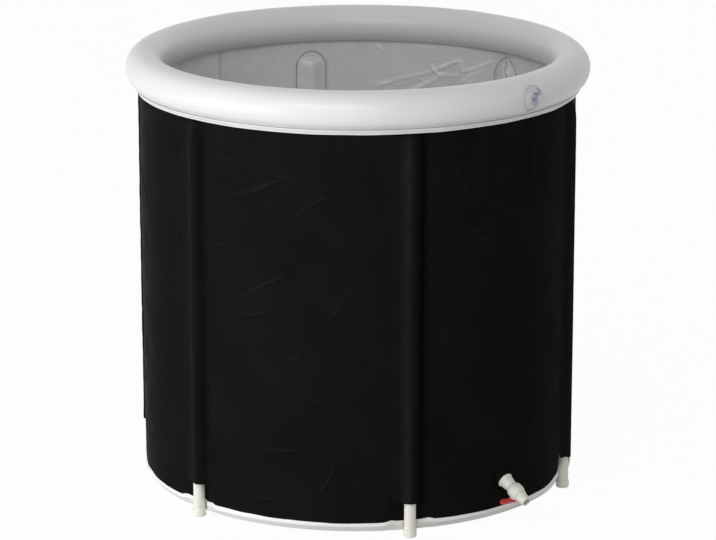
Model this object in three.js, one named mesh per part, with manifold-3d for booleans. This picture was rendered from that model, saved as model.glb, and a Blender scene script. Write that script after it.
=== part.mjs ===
// A portable cold plunge tub: an insulated fabric wall held up by poles in sleeves,
// an inflatable rim ring with its air valve, and a drain tap with a quarter-turn lever.
// Millimetres, +Z up. The origin is on the floor under the middle of the tub, and -Y is its front.
import * as THREE from 'three';
import { mergeVertices } from 'three/addons/utils/BufferGeometryUtils.js';
import Module from 'manifold-3d';

const wasm = await Module();
wasm.setup();

// Driving dimensions of the tub
const WALL_DIAMETER = 754;
const TUB_HEIGHT = 765;
const RING_TUBE_DIAMETER = 65;
const RING_OVERHANG = 23;
const RING_SKIN = 1.2;
const SKIN_THICKNESS = 1;
const FOAM_THICKNESS = 5.4;
const LINER_THICKNESS = 1;
const LAYER_GAP = 0.3;

// The lower edge: the wall draws in to the hem, and the hem slopes down to the flat base
const TAPER_TOP = 90;
const TAPER_DEPTH = 5.6;
const HEM_TOP = 27.5;
const HEM_KNEE_HEIGHT = 11.7;
const HEM_KNEE_DEPTH = 9.3;
const BASE_SLOPE_WIDTH = 37;
const SHEET_THICKNESS = 1.2;
const BASE_FOAM_THICKNESS = 10.7;
const FLOOR_OVERLAP = 1;

// The skirt that joins the ring to the wall
const SKIRT_ANGLE = THREE.MathUtils.degToRad(-56);
const SKIRT_DROP = 11.7;
const SKIRT_THICKNESS = 1.2;

// Poles, with their sleeves outside and pockets inside
const POLE_COUNT = 6;
const FIRST_POLE_AZIMUTH = THREE.MathUtils.degToRad(13.5);
const POLE_DIAMETER = 20;
const POLE_WALL = 1.8;
const POLE_TOP_DROP = 32;
const POLE_CLEARANCE = 1;
const CAP_DOME_HEIGHT = 8;
const CAP_RIM_HEIGHT = 5;
const CAP_PLUG_LENGTH = 12;
const FOOT_WALL = 1.1;
const FOOT_HEIGHT = 13;
const FOOT_FLOOR = 2.2;
const FOOT_CLEARANCE = 0.6;
const PATCH_WIDTH = 64;
const PATCH_THICKNESS = 1.2;
const SLEEVE_BOTTOM = 57;
const SLEEVE_CORNER = 6;
const SLEEVE_TOP_DROP = 2;
const POCKET_BOTTOM = 24;
const POCKET_TOP_RISE = 15;

// Air valve on the ring
const VALVE_AZIMUTH = THREE.MathUtils.degToRad(32.8);
const VALVE_DISC_DIAMETER = 44;
const VALVE_DISC_THICKNESS = 1.2;
const VALVE_CUP_DIAMETER = 22;
const VALVE_CUP_DEPTH = 8;
const VALVE_NECK_DIAMETER = 14;
const VALVE_NECK_LENGTH = 14;
const VALVE_WALL = 1.6;
const PLUG_HEAD_HEIGHT = 4.8;
const PLUG_STEM_LENGTH = 11;
const PLUG_HOLLOW_DIAMETER = 5;
const FLAP_THICKNESS = 0.8;

// Drain through the wall, with its axis tipped down, and the tap on it
const DRAIN_AZIMUTH = THREE.MathUtils.degToRad(27);
const DRAIN_HEIGHT = 75.5;
const DRAIN_STAND_OFF = 6;
const DRAIN_TILT = THREE.MathUtils.degToRad(25);
const DRAIN_BORE = 10;
const DRAIN_STUB_DIAMETER = 16;
const DRAIN_FLANGE_DIAMETER = 27.4;
const DRAIN_FLANGE_THICKNESS = 2;
const DRAIN_COLLAR_DIAMETER = 30;
const DRAIN_NUT_DIAMETER = 30;
const DRAIN_NUT_THICKNESS = 6;
const DRAIN_STUB_SPARE = 2;
const SPIGOT_CONE_DIAMETER = 24.8;
const SPIGOT_END_DIAMETER = 19.6;
const SPIGOT_LENGTH = 19;
const NIPPLE_DIAMETER = 13.6;
const NIPPLE_LENGTH = 3.6;
const TAP_BODY_DIAMETER = 27;
const TAP_BODY_LENGTH = 22.7;
const TAP_BODY_CHAMFER = 3;
const BALL_DIAMETER = 13;
const BALL_BORE = 7.6;
const SEAT_BORE = 8.6;
const SEAT_WIDTH = 3.3;
const SEAT_BACK = 7.3;
const STEM_DIAMETER = 5.4;
const STEM_BOSS_DIAMETER = 12;
const STEM_BOSS_RISE = 2;
const STEM_TANG_WIDTH = 2.4;
const STEM_TANG_LENGTH = 4.4;
const STEM_TANG_DEPTH = 1.6;
const LEVER_THICKNESS = 4.5;
const LEVER_HUB_DIAMETER = 13;
const LEVER_REACH = 28;
const LEVER_TIP_DIAMETER = 9;
const SCREW_HEAD_DIAMETER = 8;
const SCREW_HEAD_HEIGHT = 2;
const SCREW_SHANK_DIAMETER = 2.4;
const SCREW_LENGTH = 7;
const OUTLET_SHOULDER_DIAMETER = 21;
const OUTLET_END_DIAMETER = 16;
const OUTLET_LENGTH = 17.5;
const OUTLET_SHOULDER_LENGTH = 3;

// Clearance between pieces that touch, and how finely round shapes are cut
const FIT_GAP = 0.3;
const WALL_SIDES = 48;
const RING_SIDES = 12;
const POLE_SIDES = 12;
const SMALL_SIDES = 12;
const DOME_STEPS = 3;
const ARC_STEPS = 8;
const MERGE_DISTANCE = 1e-4;

// Sizes that follow from the driving dimensions
const wallRadius = WALL_DIAMETER / 2;
const ringTubeRadius = RING_TUBE_DIAMETER / 2;
const ringRadius = wallRadius + RING_OVERHANG - ringTubeRadius;
const ringHeight = TUB_HEIGHT - ringTubeRadius;
const ringUnderside = ringHeight - ringTubeRadius;
const foamInset = SKIN_THICKNESS + LAYER_GAP;
const linerInset = foamInset + FOAM_THICKNESS + LAYER_GAP;
const pocketInset = linerInset + LINER_THICKNESS + LAYER_GAP;
const wallThickness = linerInset + LINER_THICKNESS;
const hemTopRadius = wallRadius - TAPER_DEPTH;
const hemKneeRadius = hemTopRadius - HEM_KNEE_DEPTH;
const baseFlatRadius = hemKneeRadius - BASE_SLOPE_WIDTH;
const floorUnderside = SHEET_THICKNESS + 2 * FIT_GAP + BASE_FOAM_THICKNESS;
const linerBottom = floorUnderside + SHEET_THICKNESS + FIT_GAP;
const skirtBottom = ringHeight + (ringTubeRadius + FIT_GAP) * Math.sin(SKIRT_ANGLE) - SKIRT_DROP;
const poleRadius = POLE_DIAMETER / 2;
const poleCircle = wallRadius - wallThickness / 2;
const poleTop = ringUnderside - POLE_TOP_DROP;
const poleShoulder = poleTop - CAP_DOME_HEIGHT;
const channelRadius = poleRadius + POLE_CLEARANCE;
const footRadius = poleRadius + FIT_GAP + FOOT_WALL;

// Finishes
const FINISHES = {
  blackFabric: { color: 0x1c1c1a, roughness: 0.55, metalness: 0 },
  greyLiner: { color: 0x9b9c97, roughness: 0.45, metalness: 0 },
  whiteVinyl: { color: 0xf3f3f0, roughness: 0.4, metalness: 0 },
  paleSheet: { color: 0xc4c5c0, roughness: 0.5, metalness: 0 },
  foam: { color: 0xe6e6df, roughness: 0.95, metalness: 0 },
  polePlastic: { color: 0xf1efe4, roughness: 0.45, metalness: 0 },
  clearVinyl: { color: 0xb8b6cc, roughness: 0.15, metalness: 0 },
  tapPlastic: { color: 0xdcd9cc, roughness: 0.4, metalness: 0 },
  redPlastic: { color: 0xb3202a, roughness: 0.4, metalness: 0 },
  seal: { color: 0x2b2b2b, roughness: 0.8, metalness: 0 },
  seat: { color: 0xf2f2f2, roughness: 0.3, metalness: 0 },
  steel: { color: 0xb9bbbd, roughness: 0.35, metalness: 1 },
};

// A closed geometry as a solid that can be joined and cut
function solid(geometry) {
  geometry.deleteAttribute('normal');
  geometry.deleteAttribute('uv');
  const merged = mergeVertices(geometry, MERGE_DISTANCE);
  const corners = merged.index.array;
  const triangles = [];
  for (let i = 0; i < corners.length; i += 3) {
    const [a, b, c] = corners.subarray(i, i + 3);
    if (a !== b && b !== c && c !== a) triangles.push(a, b, c);
  }
  return new wasm.Manifold(new wasm.Mesh({
    numProp: 3,
    vertProperties: new Float32Array(merged.attributes.position.array),
    triVerts: new Uint32Array(triangles),
  }));
}

// A solid turned about the Z axis from the corners of its closed section, as [radius, height]
function turned(section, sides, matrix = new THREE.Matrix4()) {
  const points = section.map(([radius, height]) => new THREE.Vector2(radius, height));
  if (THREE.ShapeUtils.area(points) < 0) points.reverse();
  points.push(points[0].clone());
  const geometry = new THREE.LatheGeometry(points, sides);
  geometry.rotateX(Math.PI / 2);
  geometry.applyMatrix4(matrix);
  return solid(geometry);
}

// A solid made by pushing a flat outline along +Z
function pushed(shape, depth, matrix = new THREE.Matrix4()) {
  const options = { depth, bevelEnabled: false, curveSegments: ARC_STEPS };
  const geometry = new THREE.ExtrudeGeometry(shape, options);
  geometry.applyMatrix4(matrix);
  return solid(geometry);
}

// A round rod along +Z, from one height to another
function rod(diameter, from, to, sides, matrix) {
  const radius = diameter / 2;
  return turned([[0, from], [radius, from], [radius, to], [0, to]], sides, matrix);
}

// The closed section of a strip of even thickness, whose one face follows the path's points
function strip(path, thickness) {
  const points = path.map(([x, y]) => new THREE.Vector2(x, y));
  const normals = points.slice(1).map((point, i) => {
    const along = point.clone().sub(points[i]).normalize();
    return new THREE.Vector2(-along.y, along.x);
  });
  const far = points.map((point, i) => {
    const before = normals[Math.max(i - 1, 0)];
    const after = normals[Math.min(i, normals.length - 1)];
    const middle = before.clone().add(after).normalize();
    return point.clone().addScaledVector(middle, thickness / middle.dot(after));
  });
  return [...points, ...far.reverse()].map((point) => [point.x, point.y]);
}

// A solid as a named mesh with its own material
function piece(name, made, finish) {
  const { vertProperties, triVerts } = made.getMesh();
  const geometry = new THREE.BufferGeometry();
  geometry.setAttribute('position', new THREE.BufferAttribute(vertProperties, 3));
  geometry.setIndex(new THREE.BufferAttribute(triVerts, 1));
  geometry.computeVertexNormals();
  const mesh = new THREE.Mesh(geometry, new THREE.MeshStandardMaterial(FINISHES[finish]));
  mesh.name = name;
  return mesh;
}

// Radius of the wall's outer face at a height
function wallRadiusAt(height) {
  if (height >= TAPER_TOP) return wallRadius;
  if (height >= HEM_TOP) {
    return hemTopRadius + TAPER_DEPTH * (height - HEM_TOP) / (TAPER_TOP - HEM_TOP);
  }
  return hemTopRadius - HEM_KNEE_DEPTH * (HEM_TOP - height) / (HEM_TOP - HEM_KNEE_HEIGHT);
}

// A full ring tube of the given radius round the tub
function ringTube(tubeRadius) {
  const section = [];
  for (let side = 0; side < RING_SIDES; side += 1) {
    const turn = side / RING_SIDES * 2 * Math.PI - Math.PI / 2;
    section.push([ringRadius + tubeRadius * Math.cos(turn), ringHeight + tubeRadius * Math.sin(turn)]);
  }
  return turned(section, WALL_SIDES);
}

// One face of the wall, from a height up to a top, as section points
function wallFace(inset, bottom, top) {
  const heights = [bottom, HEM_TOP, TAPER_TOP].filter((height) => height >= bottom);
  const points = heights.map((height) => [wallRadiusAt(height) - inset, height]);
  return [...points, [wallRadius - inset, top]];
}

// A layer of the wall between two insets, cut off under the ring's flat sides
function wallLayer(outerInset, thickness, bottom) {
  const outer = wallFace(outerInset, bottom, ringHeight);
  const inner = wallFace(outerInset + thickness, bottom, ringHeight);
  const cut = ringTube(ringTubeRadius + FIT_GAP / Math.cos(Math.PI / RING_SIDES));
  return turned([...outer, ...inner.reverse()], WALL_SIDES).subtract(cut);
}

// Everything inside a face of the wall
function insideWall(inset, bottom) {
  const face = wallFace(inset, bottom, ringUnderside);
  return turned([[0, bottom], ...face, [0, ringUnderside]], WALL_SIDES);
}

function aroundTub(azimuth) {
  return new THREE.Matrix4().makeRotationZ(azimuth);
}

function poleMatrix(index) {
  const azimuth = index * 2 * Math.PI / POLE_COUNT;
  return aroundTub(azimuth).multiply(new THREE.Matrix4().makeTranslation(0, -poleCircle, 0));
}

// Section of a pole's rounded end above its shoulder, widened by a margin
function domeSection(margin) {
  const points = [];
  for (let step = 0; step <= DOME_STEPS; step += 1) {
    const turn = step / DOME_STEPS * Math.PI / 2;
    const radius = step === DOME_STEPS ? 0 : (poleRadius + margin) * Math.cos(turn);
    points.push([radius, poleShoulder + (CAP_DOME_HEIGHT + margin) * Math.sin(turn)]);
  }
  return points;
}

// The room that a pole and its foot need to slide down out of the wall
function poleChannel(matrix) {
  const wide = footRadius + FOOT_CLEARANCE;
  const wideTop = FOOT_HEIGHT + POLE_CLEARANCE;
  const foot = [[0, -POLE_CLEARANCE], [wide, -POLE_CLEARANCE], [wide, wideTop], [channelRadius, wideTop]];
  return turned([...foot, ...domeSection(POLE_CLEARANCE)], POLE_SIDES, matrix);
}

// The fabric bulge over a pole, from a height up, as a full round shape
function poleBulge(bottom) {
  const margin = POLE_CLEARANCE + PATCH_THICKNESS;
  const section = [[0, bottom], [poleRadius + margin, bottom], ...domeSection(margin)];
  return turned(section, POLE_SIDES, poleMatrix(0));
}

// A flat outline in X and Z, pushed from the tub's middle out through the front of the wall
function throughFront(shape) {
  return pushed(shape, wallRadius + RING_OVERHANG, new THREE.Matrix4().makeRotationX(Math.PI / 2));
}

const channels = Array.from({ length: POLE_COUNT }, (unused, index) => poleChannel(poleMatrix(index)));

function cutForPoles(made) {
  return channels.reduce((left, channel) => left.subtract(channel), made);
}

// The drain's own frame: +Z out along its axis, +X down across it, and +Y along the wall
const drainFlangeRadius = wallRadius + DRAIN_STAND_OFF;
const drainMatrix = new THREE.Matrix4()
  .makeRotationZ(DRAIN_AZIMUTH)
  .multiply(new THREE.Matrix4().makeTranslation(0, -drainFlangeRadius, DRAIN_HEIGHT))
  .multiply(new THREE.Matrix4().makeBasis(
    new THREE.Vector3(0, Math.sin(DRAIN_TILT), -Math.cos(DRAIN_TILT)),
    new THREE.Vector3(1, 0, 0),
    new THREE.Vector3(0, -Math.cos(DRAIN_TILT), -Math.sin(DRAIN_TILT)),
  ));
const drainWallReach = (DRAIN_STAND_OFF + TAPER_DEPTH + wallThickness) / Math.cos(DRAIN_TILT);
const nutFace = -drainWallReach - Math.tan(DRAIN_TILT) * DRAIN_COLLAR_DIAMETER / 2;
const stubEnd = nutFace - FIT_GAP - DRAIN_NUT_THICKNESS - DRAIN_STUB_SPARE;
const drainHoleDiameter = DRAIN_STUB_DIAMETER + 2 * FIT_GAP;
const drainHole = rod(drainHoleDiameter, stubEnd, DRAIN_FLANGE_THICKNESS, SMALL_SIDES, drainMatrix);

// Wall layers
function addWall(tub) {
  const skin = cutForPoles(wallLayer(0, SKIN_THICKNESS, HEM_TOP)).subtract(drainHole);
  tub.add(piece('outer_skin', skin, 'blackFabric'));

  const liner = cutForPoles(wallLayer(linerInset, LINER_THICKNESS, linerBottom)).subtract(drainHole);
  tub.add(piece('inner_liner', liner, 'greyLiner'));

  const foam = wallLayer(foamInset, FOAM_THICKNESS, HEM_TOP + FIT_GAP).subtract(drainHole);
  const pitch = 2 * Math.PI / POLE_COUNT;
  const margin = (channelRadius + FIT_GAP) / (poleCircle - wallThickness);
  const reach = wallRadius / Math.cos(pitch / 2) + RING_OVERHANG;
  for (let index = 0; index < POLE_COUNT; index += 1) {
    const start = index * pitch + margin - Math.PI / 2;
    const end = (index + 1) * pitch - margin - Math.PI / 2;
    const wedge = new THREE.Shape();
    wedge.moveTo(0, 0);
    wedge.lineTo(reach * Math.cos(start), reach * Math.sin(start));
    wedge.lineTo(reach * Math.cos((start + end) / 2), reach * Math.sin((start + end) / 2));
    wedge.lineTo(reach * Math.cos(end), reach * Math.sin(end));
    wedge.closePath();
    tub.add(piece(`wall_foam_${index + 1}`, foam.intersect(pushed(wedge, TUB_HEIGHT)), 'foam'));
  }
}

// Base: hem, outer sheet, insulation and inside floor
function addBase(tub) {
  const hemEnd = HEM_TOP - SHEET_THICKNESS;
  const hemPath = [
    [baseFlatRadius + FIT_GAP, 0],
    [hemKneeRadius, HEM_KNEE_HEIGHT],
    [wallRadiusAt(hemEnd), hemEnd],
  ];
  const hem = cutForPoles(turned(strip(hemPath, SHEET_THICKNESS), WALL_SIDES));
  tub.add(piece('bottom_hem', hem, 'paleSheet'));

  const sheetRadius = baseFlatRadius - SHEET_THICKNESS;
  const sheet = rod(2 * sheetRadius, 0, SHEET_THICKNESS, WALL_SIDES);
  tub.add(piece('base_sheet', sheet, 'paleSheet'));

  const linerFoot = wallRadiusAt(linerBottom) - linerInset;
  const floorRadius = linerFoot + FLOOR_OVERLAP - LINER_THICKNESS;
  const hemSlope = HEM_KNEE_HEIGHT / BASE_SLOPE_WIDTH;
  const foamRadius = floorRadius - FLOOR_OVERLAP;
  const foamBottom = SHEET_THICKNESS + FIT_GAP;
  const foamTop = foamBottom + BASE_FOAM_THICKNESS;
  const foamEdge = foamBottom + hemSlope * (foamRadius - baseFlatRadius);
  const foamSection = [
    [0, foamBottom], [baseFlatRadius, foamBottom], [foamRadius, foamEdge],
    [foamRadius, foamTop], [0, foamTop],
  ];
  tub.add(piece('base_foam', turned(foamSection, WALL_SIDES), 'foam'));

  const floor = rod(2 * floorRadius, floorUnderside, floorUnderside + SHEET_THICKNESS, WALL_SIDES);
  tub.add(piece('liner_floor', cutForPoles(floor), 'greyLiner'));
}

// The sleeve outside the wall and the pocket inside it that hold one pole, made at the front
function sleeveSolid() {
  const half = PATCH_WIDTH / 2;
  const top = skirtBottom - SLEEVE_TOP_DROP;
  const outline = new THREE.Shape();
  outline.moveTo(-half, top);
  outline.lineTo(-half, SLEEVE_BOTTOM + SLEEVE_CORNER);
  outline.quadraticCurveTo(-half, SLEEVE_BOTTOM, -half + SLEEVE_CORNER, SLEEVE_BOTTOM);
  outline.lineTo(half - SLEEVE_CORNER, SLEEVE_BOTTOM);
  outline.quadraticCurveTo(half, SLEEVE_BOTTOM, half, SLEEVE_BOTTOM + SLEEVE_CORNER);
  outline.lineTo(half, top);
  outline.closePath();
  const patch = insideWall(-LAYER_GAP - PATCH_THICKNESS, HEM_TOP).intersect(throughFront(outline));
  return patch
    .add(poleBulge(SLEEVE_BOTTOM))
    .subtract(insideWall(-LAYER_GAP, HEM_TOP - LAYER_GAP))
    .subtract(channels[0]);
}

function pocketSolid() {
  const half = PATCH_WIDTH / 2;
  const arcHeight = poleTop + POCKET_TOP_RISE - half;
  const outline = new THREE.Shape();
  outline.moveTo(-half, POCKET_BOTTOM);
  outline.lineTo(half, POCKET_BOTTOM);
  outline.absarc(0, arcHeight, half, 0, Math.PI);
  outline.closePath();
  const patch = insideWall(pocketInset, linerBottom)
    .intersect(throughFront(outline))
    .subtract(insideWall(pocketInset + PATCH_THICKNESS, linerBottom - LAYER_GAP));
  const bulge = poleBulge(POCKET_BOTTOM).intersect(insideWall(pocketInset, linerBottom));
  return patch.add(bulge).subtract(channels[0]);
}

function addPoles(tub) {
  const sleeve = sleeveSolid();
  const pocket = pocketSolid();
  const boreRadius = poleRadius - POLE_WALL;
  const tubeBottom = FOOT_FLOOR + FIT_GAP;
  const tubeTop = poleShoulder - CAP_RIM_HEIGHT;
  const tube = turned([
    [boreRadius, tubeBottom], [poleRadius, tubeBottom], [poleRadius, tubeTop], [boreRadius, tubeTop],
  ], POLE_SIDES);
  const cupRadius = poleRadius + FIT_GAP;
  const foot = turned([
    [0, 0], [footRadius, 0], [footRadius, FOOT_HEIGHT],
    [cupRadius, FOOT_HEIGHT], [cupRadius, FOOT_FLOOR], [0, FOOT_FLOOR],
  ], POLE_SIDES);
  const plugRadius = boreRadius - FIT_GAP;
  const plugBottom = tubeTop - CAP_PLUG_LENGTH;
  const rimBottom = tubeTop + FIT_GAP;
  const cap = turned([
    [0, plugBottom], [plugRadius, plugBottom], [plugRadius, rimBottom], [poleRadius, rimBottom],
    ...domeSection(0),
  ], POLE_SIDES);
  for (let index = 0; index < POLE_COUNT; index += 1) {
    const number = index + 1;
    const bay = new THREE.Group();
    bay.rotation.z = index * 2 * Math.PI / POLE_COUNT;
    bay.add(piece(`pole_sleeve_${number}`, sleeve, 'blackFabric'));
    bay.add(piece(`liner_pocket_${number}`, pocket, 'greyLiner'));
    const post = new THREE.Group();
    post.position.y = -poleCircle;
    post.add(piece(`pole_${number}`, tube, 'polePlastic'));
    post.add(piece(`pole_foot_${number}`, foot, 'polePlastic'));
    post.add(piece(`pole_cap_${number}`, cap, 'polePlastic'));
    bay.add(post);
    tub.add(bay);
  }
}

// Ring, skirt and air valve. The valve's own frame has +Z out along the neck, from the ring's face.
function addRing(tub) {
  const valveMatrix = aroundTub(VALVE_AZIMUTH)
    .multiply(new THREE.Matrix4().makeTranslation(0, -(ringRadius + ringTubeRadius), ringHeight))
    .multiply(new THREE.Matrix4().makeRotationX(Math.PI / 2));
  const cupHole = VALVE_CUP_DIAMETER + 2 * FIT_GAP;
  const mouth = rod(cupHole, -ringTubeRadius, VALVE_CUP_DEPTH, SMALL_SIDES, valveMatrix);
  const ring = ringTube(ringTubeRadius).subtract(ringTube(ringTubeRadius - RING_SKIN)).subtract(mouth);
  tub.add(piece('air_ring', ring, 'whiteVinyl'));

  const skirtTop = ringTubeRadius + FIT_GAP;
  const skirtPath = [
    [ringRadius + skirtTop * Math.cos(SKIRT_ANGLE), ringHeight + skirtTop * Math.sin(SKIRT_ANGLE)],
    [wallRadius + LAYER_GAP, skirtBottom],
  ];
  tub.add(piece('rim_skirt', turned(strip(skirtPath, SKIRT_THICKNESS), WALL_SIDES), 'whiteVinyl'));

  const cupRadius = VALVE_CUP_DIAMETER / 2;
  const neckRadius = VALVE_NECK_DIAMETER / 2;
  const neckEnd = -VALVE_CUP_DEPTH - VALVE_NECK_LENGTH;
  const discFace = VALVE_DISC_THICKNESS + FIT_GAP;
  const cupFloor = VALVE_WALL - VALVE_CUP_DEPTH;
  const cup = turned([
    [neckRadius - VALVE_WALL, neckEnd], [neckRadius, neckEnd], [neckRadius, -VALVE_CUP_DEPTH],
    [cupRadius, -VALVE_CUP_DEPTH], [cupRadius, discFace], [cupRadius - VALVE_WALL, discFace],
    [cupRadius - VALVE_WALL, cupFloor], [neckRadius - VALVE_WALL, cupFloor],
  ], SMALL_SIDES, valveMatrix);
  const throughRing = (diameter) => rod(
    diameter, -ringTubeRadius, ringTubeRadius, SMALL_SIDES, valveMatrix,
  );
  const disc = ringTube(ringTubeRadius + discFace)
    .subtract(ringTube(ringTubeRadius + FIT_GAP))
    .intersect(throughRing(VALVE_DISC_DIAMETER))
    .subtract(throughRing(VALVE_CUP_DIAMETER - VALVE_WALL));
  tub.add(piece('air_valve_base', cup.add(disc), 'clearVinyl'));

  const headBottom = cupFloor + FIT_GAP;
  const headRadius = cupRadius - VALVE_WALL - FIT_GAP;
  const stemRadius = neckRadius - VALVE_WALL - FIT_GAP;
  const stemEnd = headBottom - PLUG_STEM_LENGTH;
  const hollow = PLUG_HOLLOW_DIAMETER / 2;
  const plug = turned([
    [hollow, stemEnd], [stemRadius, stemEnd], [stemRadius, headBottom], [headRadius, headBottom],
    [headRadius, headBottom + PLUG_HEAD_HEIGHT], [0, headBottom + PLUG_HEAD_HEIGHT],
    [0, headBottom], [hollow, headBottom],
  ], SMALL_SIDES, valveMatrix);
  tub.add(piece('air_valve_plug', plug, 'clearVinyl'));

  const flapTop = neckEnd - FIT_GAP;
  const flap = rod(VALVE_NECK_DIAMETER, flapTop - FLAP_THICKNESS, flapTop, SMALL_SIDES, valveMatrix);
  tub.add(piece('air_valve_flap', flap, 'clearVinyl'));
}

// Drain fitting through the wall: collar outside, gasket and nut inside, and the spigot through them
function addDrain(tub) {
  const collar = rod(DRAIN_COLLAR_DIAMETER, nutFace, -FIT_GAP, SMALL_SIDES, drainMatrix)
    .subtract(insideWall(-LAYER_GAP, HEM_TOP))
    .subtract(drainHole);
  tub.add(piece('drain_collar', collar, 'blackFabric'));

  const gasket = rod(DRAIN_COLLAR_DIAMETER, nutFace, 0, SMALL_SIDES, drainMatrix)
    .intersect(insideWall(pocketInset, linerBottom))
    .subtract(drainHole);
  tub.add(piece('drain_gasket', gasket, 'seal'));

  const nutBottom = nutFace - FIT_GAP - DRAIN_NUT_THICKNESS;
  const hexagon = new THREE.Shape();
  for (let corner = 0; corner < 6; corner += 1) {
    const turn = corner * Math.PI / 3;
    const x = DRAIN_NUT_DIAMETER / 2 * Math.cos(turn);
    const y = DRAIN_NUT_DIAMETER / 2 * Math.sin(turn);
    if (corner === 0) hexagon.moveTo(x, y);
    else hexagon.lineTo(x, y);
  }
  hexagon.closePath();
  const nutPlace = drainMatrix.clone().multiply(new THREE.Matrix4().makeTranslation(0, 0, nutBottom));
  const nut = pushed(hexagon, DRAIN_NUT_THICKNESS, nutPlace).subtract(drainHole);
  tub.add(piece('drain_nut', nut, 'tapPlastic'));

  const bore = DRAIN_BORE / 2;
  const stub = DRAIN_STUB_DIAMETER / 2;
  const flange = DRAIN_FLANGE_DIAMETER / 2;
  const nippleEnd = SPIGOT_LENGTH + NIPPLE_LENGTH;
  const spigot = turned([
    [bore, stubEnd], [stub, stubEnd], [stub, 0], [flange, 0], [flange, DRAIN_FLANGE_THICKNESS],
    [SPIGOT_CONE_DIAMETER / 2, DRAIN_FLANGE_THICKNESS], [SPIGOT_END_DIAMETER / 2, SPIGOT_LENGTH],
    [NIPPLE_DIAMETER / 2, SPIGOT_LENGTH], [NIPPLE_DIAMETER / 2, nippleEnd], [bore, nippleEnd],
  ], SMALL_SIDES, drainMatrix);
  tub.add(piece('drain_spigot', spigot, 'tapPlastic'));
}

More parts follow.
